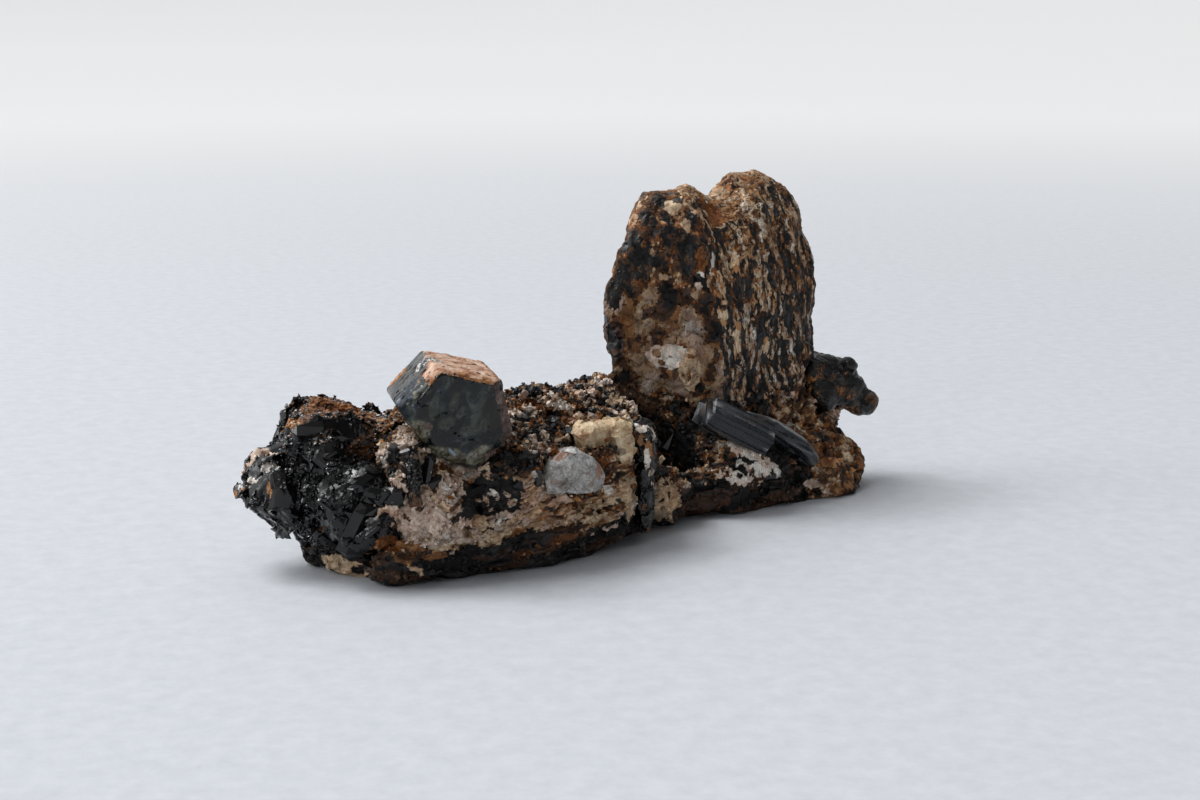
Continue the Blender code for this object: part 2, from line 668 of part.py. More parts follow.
def colour(body):
    tint, roughness = LOOKS[body.name]
    material = bpy.data.materials.new(body.name + "_material")
    material.use_nodes = True
    shader = material.node_tree.nodes["Principled BSDF"]
    shader.inputs["Base Color"].default_value = (*tint, 1.0)
    shader.inputs["Roughness"].default_value = roughness
    shader.inputs["Metallic"].default_value = 0.0
    body.data.materials.clear()
    body.data.materials.append(material)


def main():
    noise.seed_set(NOISE_SEED)
    clear_scene()
    home = new_collection(NAME)
    tools = new_collection("cutters")

    mass = make_schorl_mass(home, tools)
    end = make_end_crystal(home, tools, mass)
    aquamarine = make_aquamarine(home)
    prism = make_prism("schorl_prism", home, PRISM_LEFT, PRISM_RIGHT, PRISM_RADIUS, PRISM_ROLL)
    blade = make_blade(home)
    cut(blade, grown_copy(prism, tools, GAP))
    keep_largest(blade)
    plate = make_plate(home)
    needle = make_prism("schorl_needle", home, NEEDLE_TOP, NEEDLE_FOOT, NEEDLE_RADIUS, NEEDLE_ROLL)
    feldspar = make_feldspar(home)
    quartz = make_quartz(home)
    knobs = make_knobs(home)

    plate_seat = grown_copy(plate, tools, GAP, SEAT_TRIANGLES["schorl_plate"])
    cut(feldspar, plate_seat)
    keep_largest(feldspar)

    seated = [mass, end, aquamarine, prism, blade, plate, needle, feldspar, quartz, knobs]
    seats = [plate_seat if piece is plate else grown_copy(piece, tools, GAP, SEAT_TRIANGLES.get(piece.name))
             for piece in seated]
    rock = make_matrix(home, tools, seats)

    pieces = [rock] + seated
    drop_to_floor(pieces)
    for piece in pieces:
        colour(piece)
    for cutter in tools.objects:
        cutter.hide_render = True
        cutter.display_type = "WIRE"


main()
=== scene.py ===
import math
from collections import namedtuple

import bmesh
import bpy
import numpy as np
from mathutils import Euler, Matrix, Vector
from mathutils.bvhtree import BVHTree


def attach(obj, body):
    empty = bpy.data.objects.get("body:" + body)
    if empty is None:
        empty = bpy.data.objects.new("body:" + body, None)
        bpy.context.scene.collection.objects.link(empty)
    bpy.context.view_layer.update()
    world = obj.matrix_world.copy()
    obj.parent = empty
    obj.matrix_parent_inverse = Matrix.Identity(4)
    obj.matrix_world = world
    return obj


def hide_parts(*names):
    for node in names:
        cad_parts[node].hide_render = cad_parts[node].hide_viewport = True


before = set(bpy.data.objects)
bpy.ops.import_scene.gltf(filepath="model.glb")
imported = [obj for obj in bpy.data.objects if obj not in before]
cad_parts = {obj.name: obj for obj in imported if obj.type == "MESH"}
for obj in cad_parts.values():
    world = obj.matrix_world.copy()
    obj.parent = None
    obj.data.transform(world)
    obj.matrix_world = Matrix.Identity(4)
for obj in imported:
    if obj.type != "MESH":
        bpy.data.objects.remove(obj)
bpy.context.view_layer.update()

MM = 0.001

# Camera at the photograph's angle
CAMERA_PLACE = Vector((-0.0920, -0.1813, 0.0524))
CAMERA_PITCH = math.radians(79)
CAMERA_HEADING = math.radians(-27)
LENS = 60.0
SENSOR = 36.0
PICTURE_WIDTH = 1200
PICTURE_HEIGHT = 800
FOCAL_PIXELS = LENS / SENSOR * PICTURE_WIDTH
CAMERA_TURN = Euler((CAMERA_PITCH, 0.0, CAMERA_HEADING)).to_matrix()
RIGHT = CAMERA_TURN.col[0]
UP = CAMERA_TURN.col[1]
AHEAD = -CAMERA_TURN.col[2]

# Floor, in metres, and the share of its reach that is flat
FLOOR_REACH = 6.0
FLOOR_RISE = 2.2
FLOOR_FLAT = 0.45

# Brightness of the surroundings from the dark front to the bright back
SKY_LEVELS = ((0.25, 0.06), (0.60, 0.21), (0.9, 0.80))

MINERALS = ("dark", "brown", "rust", "tan", "cream", "pink", "white")
PALE = ("cream", "pink", "white")
FIBRES = {"fibres": "cream", "white_fibres": "white"}


# Noise worked out for many points at once

def scrambled(cells, salt):
    """A random whole number for each whole-number cell, the same on every run."""
    grid = cells.astype(np.int64).astype(np.uint32)
    with np.errstate(over="ignore"):
        mixed = (grid[..., 0] * np.uint32(73856093)) ^ (grid[..., 1] * np.uint32(19349663))
        mixed ^= (grid[..., 2] * np.uint32(83492791)) ^ np.uint32((salt * 2654435761) % 2 ** 32)
        mixed ^= mixed >> np.uint32(16)
        mixed *= np.uint32(0x85EBCA6B)
        mixed ^= mixed >> np.uint32(13)
        mixed *= np.uint32(0xC2B2AE35)
        mixed ^= mixed >> np.uint32(16)
    return mixed


def chance(cells, salt):
    return scrambled(cells, salt) / 2.0 ** 32


def smooth(low, high, value):
    share = np.clip((value - low) / (high - low), 0.0, 1.0)
    return share * share * (3.0 - 2.0 * share)


def cloud(points, size, salt, octaves=3):
    """Soft noise, about -1 to 1, whose largest features have the given size in millimetres."""
    total = np.zeros(len(points))
    weight = 1.0
    whole = 0.0
    scaled = points / (np.array(size) * MM)
    turn = np.array(Matrix.Rotation(0.65, 3, "Z"))
    for octave in range(octaves):
        scaled = scaled @ turn
        base = np.floor(scaled)
        part = scaled - base
        part = part * part * (3.0 - 2.0 * part)
        value = np.zeros(len(points))
        for corner in range(8):
            step = np.array([corner & 1, corner >> 1 & 1, corner >> 2 & 1])
            share = np.prod(np.where(step, part, 1.0 - part), axis=1)
            value += share * chance(base + step, salt + octave)
        total += weight * (2.0 * value - 1.0)
        whole += weight
        weight *= 0.5
        scaled = scaled * 2.03 + 11.7
    return total / whole * 1.6


def grains(points, size, salt):
    """Splits space into irregular grains of the given size in millimetres.

    Returns each point's grain number, its offset from the grain's middle and how near the border is.
    """
    scaled = points / (np.array(size) * MM)
    base = np.floor(scaled)
    first = np.full(len(points), 9.0)
    second = np.full(len(points), 9.0)
    number = np.zeros(len(points), np.uint32)
    offset = np.zeros((len(points), 3))
    for i in (-1, 0, 1):
        for j in (-1, 0, 1):
            for k in (-1, 0, 1):
                cell = base + np.array([i, j, k])
                middle = cell + np.stack([chance(cell, salt + n) for n in (1, 2, 3)], axis=1)
                away = scaled - middle
                distance = np.sqrt((away ** 2).sum(axis=1))
                nearer = distance < first
                second = np.where(nearer, first, np.minimum(second, distance))
                first = np.where(nearer, distance, first)
                number = np.where(nearer, scrambled(cell, salt), number)
                offset = np.where(nearer[:, None], away, offset)
    return number, offset, second - first


def draw(number, salt):
    """A random value from 0 to 1 for each grain number."""
    wide = number.astype(np.int64)
    return chance(np.stack([wide & 0xFFFF, wide >> 16, wide * 0 + salt], axis=-1), salt)


def facets(number, offset, step, tilt, salt):
    """Height of flat grain tops that stand out or back by step and lean by tilt, in millimetres."""
    lean = np.stack([draw(number, salt + n) - 0.5 for n in (1, 2, 3)], axis=1)
    lean /= np.maximum(np.linalg.norm(lean, axis=1), 1e-6)[:, None]
    return step * (draw(number, salt) - 0.5) * 2.0 + tilt * (offset * lean).sum(axis=1)


def ranked(values):
    """The values' ranks, spread evenly from 0 to 1."""
    order = np.empty(len(values))
    order[np.argsort(values)] = np.arange(len(values))
    return order / max(len(values), 1)


def flat_tops(points, outward, number, lean, limit, salt):
    """Height, in millimetres, that brings each grain onto one plane that leans a little."""
    names, index = np.unique(number, return_inverse=True)
    count = np.bincount(index)[:, None]
    middle = np.stack([np.bincount(index, weights=points[:, k]) for k in range(3)], axis=1) / count
    facing = np.stack([np.bincount(index, weights=outward[:, k]) for k in range(3)], axis=1) / count
    length = np.linalg.norm(facing, axis=1)
    facing /= np.maximum(length, 1e-6)[:, None]
    facing += 2.0 * lean * (np.stack([draw(names, salt + n) for n in (1, 2, 3)], axis=1) - 0.5)
    facing /= np.linalg.norm(facing, axis=1)[:, None]
    along = (outward * facing[index]).sum(axis=1)
    gap = ((middle[index] - points) * facing[index]).sum(axis=1) / np.maximum(along, 0.4)
    return np.where(length[index] > 0.6, np.clip(gap / MM, -limit, limit), 0.0)


# Meshes

def places(piece):
    found = np.zeros(len(piece.data.vertices) * 3, np.float32)
    piece.data.vertices.foreach_get("co", found)
    return found.reshape(-1, 3).astype(np.float64)


def facings(piece):
    found = np.zeros(len(piece.data.vertices) * 3, np.float32)
    piece.data.vertex_normals.foreach_get("vector", found)
    return found.reshape(-1, 3).astype(np.float64)


def calm_facings(piece, rounds):
    """Vertex normals averaged with their neighbours', so that relief doesn't end in spikes."""
    ends = np.zeros(len(piece.data.edges) * 2, np.int32)
    piece.data.edges.foreach_get("vertices", ends)
    first, second = ends[0::2], ends[1::2]
    found = facings(piece)
    count = len(found)
    for _ in range(rounds):
        summed = found.copy()
        for axis in range(3):
            summed[:, axis] += np.bincount(first, weights=found[second, axis], minlength=count)
            summed[:, axis] += np.bincount(second, weights=found[first, axis], minlength=count)
        found = summed / np.linalg.norm(summed, axis=1)[:, None]
    return found


def move_to(piece, spots):
    piece.data.vertices.foreach_set("co", spots.astype(np.float32).ravel())
    piece.data.update()


def write_layer(mesh, title, values):
    layer = mesh.attributes.get(title) or mesh.attributes.new(title, "FLOAT", "POINT")
    layer.data.foreach_set("value", values.astype(np.float32))


def read_layer(mesh, title):
    values = np.zeros(len(mesh.vertices), np.float32)
    mesh.attributes[title].data.foreach_get("value", values)
    return values


def new_piece(title, mesh):
    made = bpy.data.objects.new(title, mesh)
    bpy.context.scene.collection.objects.link(made)
    return made


def copy_of(node, title):
    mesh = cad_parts[node].data.copy()
    mesh.name = title
    mesh.materials.clear()
    return new_piece(title, mesh)


def apply_modifier(piece, kind, **settings):
    step = piece.modifiers.new(kind, kind)
    for setting, value in settings.items():
        setattr(step, setting, value)
    graph = bpy.context.evaluated_depsgraph_get()
    mesh = bpy.data.meshes.new_from_object(piece.evaluated_get(graph))
    piece.modifiers.clear()
    piece.data = mesh
    mesh.name = piece.name


def remesh(piece, voxel):
    size = voxel * 1.0
    apply_modifier(piece, "REMESH", mode="VOXEL", voxel_size=size * MM)


def thin_out(piece, triangles):
    count = 2 * len(piece.data.polygons)
    if count > triangles:
        apply_modifier(piece, "DECIMATE", ratio=triangles / count, use_collapse_triangulate=True)


def keep_largest(piece):
    """Drops loose crumbs of a mesh, so that one closed skin is left."""
    mesh = piece.data
    ends = np.zeros(len(mesh.edges) * 2, np.int32)
    mesh.edges.foreach_get("vertices", ends)
    ends = ends.reshape(-1, 2)
    label = np.arange(len(mesh.vertices))
    while True:
        low = np.minimum(label[ends[:, 0]], label[ends[:, 1]])
        fresh = label.copy()
        np.minimum.at(fresh, ends[:, 0], low)
        np.minimum.at(fresh, ends[:, 1], low)
        fresh = fresh[fresh]
        if np.array_equal(fresh, label):
            break
        label = fresh
    names, counts = np.unique(label, return_counts=True)
    if len(names) == 1:
        return
    shape = bmesh.new()
    shape.from_mesh(mesh)
    shape.verts.ensure_lookup_table()
    largest = names[np.argmax(counts)]
    loose = [shape.verts[int(n)] for n in np.nonzero(label != largest)[0]]
    bmesh.ops.delete(shape, geom=loose, context="VERTS")
    shape.to_mesh(mesh)
    shape.free()


def ride(piece, slot, *nodes):
    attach(piece, "root")
    if nodes:
        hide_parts(*nodes)


# Places named by a pixel of the photograph

def build_target():
    corners, faces = [], []
    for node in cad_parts.values():
        start = len(corners)
        corners += [v.co.copy() for v in node.data.vertices]
        faces += [[start + n for n in face.vertices] for face in node.data.polygons]
    return BVHTree.FromPolygons(corners, faces)


TARGET = build_target()


def seen_at(u, v):
    """The point of the specimen's surface that shows at a pixel, the pixel's size there and the facing."""
    aim = AHEAD + RIGHT * ((u - PICTURE_WIDTH / 2) / FOCAL_PIXELS)
    aim += UP * ((PICTURE_HEIGHT / 2 - v) / FOCAL_PIXELS)
    spot, facing = TARGET.ray_cast(CAMERA_PLACE, aim.normalized())[:2]
    if spot is None:
        return None
    return np.array(spot), (spot - CAMERA_PLACE).dot(AHEAD) / FOCAL_PIXELS, np.array(facing)


def patch_field(points, patch):
    """How far inside a patch each point is: 1 at its middle, 0 from its ragged edge outward."""
    u, v, wide, high, turn = patch[:5]
    found = seen_at(u, v)
    if found is None:
        return np.zeros(len(points))
    middle, pixel = found[:2]
    angle = math.radians(turn)
    along = math.cos(angle) * np.array(RIGHT) + math.sin(angle) * np.array(UP)
    upward = math.cos(angle) * np.array(UP) - math.sin(angle) * np.array(RIGHT)
    away = points - middle
    deep = 0.5 * (wide + high)
    reach = np.sqrt((away @ along / (wide * pixel)) ** 2 + (away @ upward / (high * pixel)) ** 2
                    + (away @ np.array(AHEAD) / (deep * pixel)) ** 2)
    return np.clip(1.6 * (1.0 - reach), 0.0, 1.0)


# Patches: pixel of the middle, half width and height in pixels, turn in degrees, mineral, height

ROCK_PATCHES = [
    (342, 567, 42, 13, -12, "cream", 0.1),
    (402, 561, 28, 3, -32, "tan", 0.3),
    (414, 570, 12, 5, -20, "cream", 0.1),
    (380, 575, 60, 8, -5, "brown", 0.0),
    (404, 512, 36, 38, 0, "pink", 0.5),
    (415, 470, 11, 26, 0, "pink", 0.5),
    (385, 500, 8, 14, 20, "pink", 0.3),
    (393, 464, 9, 28, 0, "dark", -0.3),
    (428, 520, 22, 26, 0, "pink", 0.2),
    (392, 546, 24, 13, -10, "rust", 0.1),
    (414, 546, 20, 8, -10, "tan", 0.1),
    (450, 568, 60, 8, 4, "dark", 0.0),
    (440, 556, 24, 5, 5, "tan", 0.0),
    (430, 470, 6, 16, 0, "dark", 0.3),
    (412, 444, 10, 10, 0, "pink", 0.7),
    (412, 443, 4, 4, 0, "dark", -0.3),
    # A dark patch sunk under the aquamarine's overhang: painted shadow.
    (492, 500, 52, 26, 5, "dark", -0.2),
    (452, 499, 8, 6, 0, "white", 0.1),
    (520, 482, 8, 10, 0, "cream", 0.3),
    (480, 520, 14, 8, 0, "cream", 0.2),
    (505, 515, 10, 6, 0, "pink", 0.1),
    (539, 442, 12, 18, 0, "pink", 0.8),
    (520, 420, 14, 22, 0, "dark", -0.5),
    (567, 432, 9, 8, 0, "dark", 0.5),
    (558, 447, 24, 6, 35, "rust", 0.2),
    (603, 460, 7, 14, 0, "rust", 0.1),
    (598, 442, 20, 8, 0, "rust", -0.4),
    (598, 452, 16, 6, 0, "brown", -0.5),
    (560, 500, 22, 7, 12, "pink", 0.1),
    (604, 503, 34, 5, 16, "cream", 0.2),
    (590, 519, 44, 4, 14, "cream", 0.1),
    (612, 528, 30, 4, 18, "pink", 0.1),
    (575, 535, 36, 3, 10, "tan", 0.0),
    (602, 543, 52, 7, 14, "brown", 0.0),
    (632, 515, 14, 10, 20, "cream", 0.1),
    (600, 492, 26, 5, 10, "white", 0.1),
    (625, 497, 14, 18, 0, "cream", 0.3),
    (666, 502, 28, 32, 10, "cream", 0.4),
    (655, 522, 30, 10, 10, "pink", 0.2),
    (640, 432, 14, 16, 0, "white", 0.2),
    (583, 392, 20, 9, 0, "pink", 0.3),
    (612, 402, 20, 8, 0, "cream", 0.1),
    (560, 405, 14, 7, 0, "white", 0.2),
    (588, 410, 16, 6, 0, "dark", 0.0),
    (537, 392, 28, 8, 0, "dark", 0.7),
    (528, 405, 16, 8, 0, "rust", 0.1),
    (596, 372, 12, 10, 0, "rust", 0.2),
    # Dark patches left of and under the slate prism: painted shadow in the undercut below it.
    (680, 452, 26, 42, 20, "dark", -0.5),
    (650, 470, 12, 30, 10, "dark", -0.4),
    (695, 487, 40, 9, 8, "dark", 0.0),
    (690, 505, 60, 10, 8, "brown", 0.0),
    (750, 461, 38, 17, -24, "white_fibres", 1.0),
    (735, 477, 26, 10, -12, "white_fibres", 0.5),
    (776, 472, 18, 14, -30, "white_fibres", 0.6),
    (758, 484, 14, 6, -20, "cream", 0.2),
    (722, 470, 9, 8, 0, "pink", 0.3),
    (719, 474, 5, 4, 0, "rust", 0.1),
    (770, 480, 22, 8, -20, "dark", 0.0),
    (790, 495, 40, 10, 8, "brown", 0.0),
    (800, 474, 9, 10, 0, "dark", 0.0),
    (824, 460, 17, 12, 0, "tan", 0.2),
    (850, 480, 13, 13, 0, "tan", 0.1),
    (812, 484, 13, 8, 0, "pink", 0.1),
    (836, 488, 14, 7, 0, "tan", 0.0),
    (860, 462, 7, 11, 0, "rust", 0.1),
    (848, 452, 10, 13, 0, "cream", 0.2),
    (838, 410, 24, 11, 0, "pink", 0.2),
    (828, 434, 20, 10, 0, "dark", -0.6),
    (672, 207, 10, 11, 0, "cream", 0.2),
    (686, 226, 5, 11, 0, "cream", 0.1),
    (711, 275, 8, 11, 0, "rust", 0.0),
    (615, 257, 8, 13, 0, "rust", 0.1),
    (612, 300, 5, 22, 0, "dark", 0.0),
    (712, 212, 12, 24, 20, "rust", -0.2),
    (640, 405, 20, 16, 0, "brown", 0.0),
    (637, 250, 20, 16, 30, "dark", 0.0),
    (702, 262, 6, 18, 0, "rust", 0.0),
    (655, 262, 26, 8, -25, "dark", 0.0),
    (700, 282, 6, 12, 0, "white", 0.1),
    (664, 276, 8, 7, 0, "cream", 0.2),
    (722, 300, 7, 40, 4, "fibres", 0.0),
    (735, 262, 5, 30, -4, "fibres", 0.0),
    (766, 345, 8, 12, 0, "fibres", 0.0),
    (738, 340, 6, 26, 0, "fibres", 0.0),
    (628, 320, 10, 24, 0, "tan", 0.1),
    (668, 355, 30, 16, 0, "white", 0.0),
    (690, 372, 14, 26, 0, "cream", 0.0),
]

MASS_PATCHES = [
    (327, 410, 42, 11, 0, "rust", 0.1),
    (382, 418, 22, 8, 0, "brown", 0.1),
    (372, 450, 32, 22, 0, "brown", -0.1),
    (318, 408, 12, 6, 0, "brown", 0.1),
    (302, 482, 9, 14, 0, "dark", -0.8),
    (384, 512, 20, 18, 0, "pink", 0.3),
    (386, 545, 22, 13, -15, "rust", 0.2),
    (372, 560, 24, 8, -15, "tan", 0.1),
]

END_PATCHES = [
    (262, 458, 26, 15, 25, "pink", 0.2),
    (246, 472, 12, 9, 50, "pink", 0.1),
    (270, 468, 12, 8, 0, "white", 0.1),
    (251, 480, 13, 4, 0, "white", 0.0),
    (269, 488, 4, 15, 10, "tan", 0.0),
    (243, 490, 9, 10, 0, "tan", 0.1),
]

KNOB_PATCHES = [
    (827, 356, 10, 10, 0, "dark", 0.8),
    (848, 366, 9, 9, 0, "dark", 0.7),
    (838, 378, 9, 8, 0, "dark", 0.6),
    (857, 384, 8, 8, 0, "dark", 0.5),
    (835, 404, 18, 7, 0, "brown", 0.0),
    (872, 400, 10, 8, 0, "brown", 0.0),
]

# How far the beds rise to the right in the picture, in degrees
BED_TILT = 10.0
# Where the standing slab starts along X in millimetres, and how much further left it reaches higher up
SLAB_LEFT = 3.0
SLAB_LEAN = 0.35
# Height of the slab's foot, and over how far its left edge fades, in millimetres
SLAB_FOOT = 11.0
SLAB_FADE = 2.5
# Top of the black mass in millimetres, and the recess in its right side
MASS_TOP = 15.5
RECESS = (368, 450, 34, 26, 0)

# Zones of the rock. Shares are in the order of MINERALS. Size is that of the grains in millimetres, step
# and tilt their relief, crack the depth between them, grit the fine relief, flat how far each is brought
# onto one plane, clean the share of grains with nothing on their faces. Veins is how far the minerals
# follow noise of the size in spread instead of the grains.
Zone = namedtuple("Zone", "shares size step tilt crack grit flat clean veins spread")
ZONES = {
    "streaks": Zone((0.32, 0.10, 0.15, 0.18, 0.21, 0.00, 0.04), (0.4, 0.4, 1.8),
                    0.05, 0.08, 0.05, 0.05, 0.0, 0.0, 0.72, (0.52, 0.52, 2.6)),
    "grey_streaks": Zone((0.52, 0.09, 0.06, 0.06, 0.15, 0.07, 0.05), (0.4, 0.4, 1.5),
                         0.05, 0.08, 0.05, 0.05, 0.0, 0.0, 0.70, (0.60, 0.60, 2.2)),
    "blocks": Zone((0.12, 0.24, 0.05, 0.18, 0.27, 0.12, 0.02), (1.7, 1.7, 1.4),
                   0.12, 0.10, 0.26, 0.03, 0.8, 0.8, 0.85, (2.2, 2.2, 3.2)),
    "crown": Zone((0.31, 0.36, 0.15, 0.12, 0.06, 0.00, 0.00), (0.6, 0.6, 0.9),
                  0.07, 0.09, 0.06, 0.05, 0.0, 0.0, 0.60, (0.9, 0.9, 1.8)),
    # The top zone's pale tan and cream grains, on faces that look up, are partly the slab top's own colour
    # and partly painted light where light falls on the top.
    "top": Zone((0.02, 0.05, 0.08, 0.42, 0.43, 0.00, 0.00), (0.5, 0.5, 0.5),
                0.06, 0.08, 0.06, 0.05, 0.0, 0.0, 0.45, (1.2, 1.2, 1.2)),
    "layers": Zone((0.07, 0.13, 0.04, 0.12, 0.36, 0.21, 0.07), (3.0, 3.0, 0.5),
                   0.22, 0.12, 0.08, 0.05, 0.3, 0.4, 0.75, (5.5, 5.5, 0.75)),
    # The under zone is mostly dark mineral, darker towards the bottom: partly the rock's dark minerals,
    # partly painted shade under the overhang.
    "under": Zone((0.78, 0.20, 0.01, 0.01, 0.00, 0.00, 0.00), (3.0, 3.0, 0.7),
                  0.20, 0.16, 0.10, 0.06, 0.3, 0.3, 0.70, (5.0, 5.0, 1.0)),
    "crumbs": Zone((0.34, 0.15, 0.12, 0.08, 0.12, 0.11, 0.08), (0.75, 0.75, 0.7),
                   0.30, 0.32, 0.16, 0.08, 0.0, 0.3, 0.45, (1.5, 1.5, 1.2)),
    "pale": Zone((0.07, 0.09, 0.05, 0.03, 0.17, 0.52, 0.07), (1.5, 1.5, 1.3),
                 0.16, 0.14, 0.12, 0.04, 0.8, 0.8, 0.50, (1.8, 1.8, 2.0)),
    "tan": Zone((0.09, 0.27, 0.15, 0.30, 0.16, 0.03, 0.00), (1.6, 1.6, 1.3),
                0.26, 0.24, 0.16, 0.06, 0.7, 0.6, 0.50, (2.4, 2.4, 1.6)),
    "mixed": Zone((0.44, 0.27, 0.08, 0.07, 0.08, 0.04, 0.02), (1.0, 1.0, 0.8),
                  0.28, 0.28, 0.12, 0.08, 0.3, 0.3, 0.55, (1.8, 1.8, 1.2)),
    "back": Zone((0.30, 0.33, 0.10, 0.12, 0.10, 0.03, 0.02), (1.4, 1.4, 1.0),
                 0.16, 0.12, 0.14, 0.06, 0.7, 0.6, 0.55, (1.6, 1.6, 1.1)),
    "knob": Zone((0.86, 0.10, 0.02, 0.02, 0.00, 0.0, 0.0), (0.9, 0.9, 0.9),
                 0.05, 0.06, 0.05, 0.04, 0.0, 0.7, 0.5, (1.5, 1.5, 1.5)),
    "black": Zone((0.995, 0.005, 0.0, 0.0, 0.0, 0.0, 0.0), (1.15, 1.15, 1.5),
                  0.11, 0.22, 0.00, 0.0, 0.7, 0.5, 0.0, (1.0, 1.0, 1.0)),
    "rusty": Zone((0.34, 0.27, 0.22, 0.15, 0.02, 0.00, 0.00), (0.6, 0.6, 0.5),
                  0.12, 0.14, 0.08, 0.08, 0.0, 0.0, 0.50, (1.6, 1.6, 0.8)),
    "recess": Zone((0.52, 0.40, 0.05, 0.03, 0.00, 0.00, 0.00), (3.0, 3.0, 0.45),
                   0.24, 0.14, 0.10, 0.05, 0.0, 0.2, 0.65, (5.0, 5.0, 0.7)),
    "plate": Zone((0.88, 0.05, 0.01, 0.02, 0.01, 0.0, 0.03), (1.0, 1.0, 2.4),
                  0.12, 0.20, 0.05, 0.03, 0.4, 0.3, 0.0, (1.0, 1.0, 1.0)),
}
# How far a zone's fine colour is drawn out upwards or along the beds, and how much painted shade darkens it
# all over: under the overhanging bottom and on the slab's dimly lit blocks
UPRIGHT_ZONES = {"streaks": 1.0, "grey_streaks": 1.0, "crown": 0.6, "blocks": 0.3, "plate": 0.7}
BEDDED_ZONES = {"layers": 1.0, "under": 0.9, "recess": 0.8, "tan": 0.3}
PAINTED_SHADE_ZONES = {"under": 0.95, "blocks": 0.7}


def on_slab(points, low, high):
    """1 on the standing slab, 0 below the first of two heights in millimetres."""
    x, z = points[:, 0] / MM, points[:, 2] / MM
    return smooth(low, high, z) * smooth(SLAB_LEFT, SLAB_LEFT + SLAB_FADE, x + SLAB_LEAN * (z - SLAB_FOOT))


def zone_weights(points, outward):
    """How strongly each zone claims each point of the rock, by its place in millimetres and its facing."""
    x, z = points[:, 0] / MM, points[:, 2] / MM
    ragged = cloud(points, 3.0, 51)
    slab = on_slab(points + np.outer(1.2 * MM * ragged, (0.0, 0.0, 1.0)), 9.5, 13.0)
    front = smooth(-0.25, 0.15, -outward[:, 1])
    right = smooth(14.6, 15.8, x + 0.8 * ragged + 0.05 * (z - 20.0))
    upper = smooth(22.5, 26.0, z + 2.0 * ragged - 0.35 * (x - 10.0))
    upward = smooth(0.45, 0.8, outward[:, 2])
    low = smooth(5.0, 3.0, z + 0.8 * ragged)
    behind = 1.0 - front
    swell = cloud(points, 9.0, 57)
    streaked = np.maximum(front * right, behind * smooth(-0.15, 0.25, swell + 0.3 * ragged))
    bedded = np.maximum(front * smooth(3.0, 0.0, x), behind * smooth(0.1, -0.2, swell))
    weights = {
        "streaks": slab * streaked * smooth(17.0, 22.0, z + 3.0 * ragged),
        "grey_streaks": slab * streaked * smooth(22.0, 17.0, z + 3.0 * ragged),
        "blocks": slab * front * (1.0 - right) * (1.0 - upper),
        "crown": slab * np.maximum(front * (1.0 - right) * upper, 0.7 * behind * (1.0 - streaked)),
        # Faces that look up on the slab's top take the paler top zone, partly painted light.
        "top": slab * upward * smooth(26.0, 29.0, z) * smooth(12.5, 15.5, x + ragged) * 1.4,
        "layers": (1.0 - slab) * bedded * smooth(10.5, 8.5, z) * 0.9,
        "under": (1.0 - slab) * low * (1.1 - 0.9 * smooth(22.0, 26.0, x + ragged)),
        "crumbs": (1.0 - slab) * smooth(10.0, 11.5, z + 0.6 * ragged) * smooth(8.0, 5.0, x),
        "pale": (1.0 - slab) * front * smooth(-17.0, -20.0, x + ragged) * smooth(3.0, 5.0, z) * 1.2,
        "mixed": (1.0 - slab) * np.maximum(front, behind * smooth(0.0, 0.4, ragged)) * 0.55,
        "tan": (1.0 - slab) * front * smooth(24.0, 27.0, x + ragged),
        "back": 0.4 * behind + 0.05,
    }
    return weights


def black_zones(points, outward):
    """The black mass has a rusty flat top and a banded brown recess at its right."""
    top = smooth(0.45, 0.75, outward[:, 2]) * smooth(MASS_TOP - 3.0, MASS_TOP - 1.8, points[:, 2] / MM)
    recess = patch_field(points, RECESS)
    return {"black": np.full(len(points), 0.5), "rusty": top, "recess": recess}


def pick_mineral(shares, luck):
    """The mineral number of each grain, drawn by the shares."""
    edges = np.cumsum(np.array(shares) / np.sum(shares))
    return np.minimum(np.searchsorted(edges, luck), len(shares) - 1)


def tilted(points, degrees):
    """Points turned about the line of sight, so that layers rise to the right in the picture."""
    turn = np.array(Matrix.Rotation(math.radians(degrees), 3, AHEAD))
    return points @ turn.T


# How far grains are bent out of straight and how wide the cracks between them are, in millimetres
GRAIN_BEND = 0.30
CRACK_WIDTH = 0.12
# Size of the small grains beside the grain they are in, and the share of them with a mineral of their own
SMALL_GRAIN = 0.45
OWN_MINERAL = 0.38


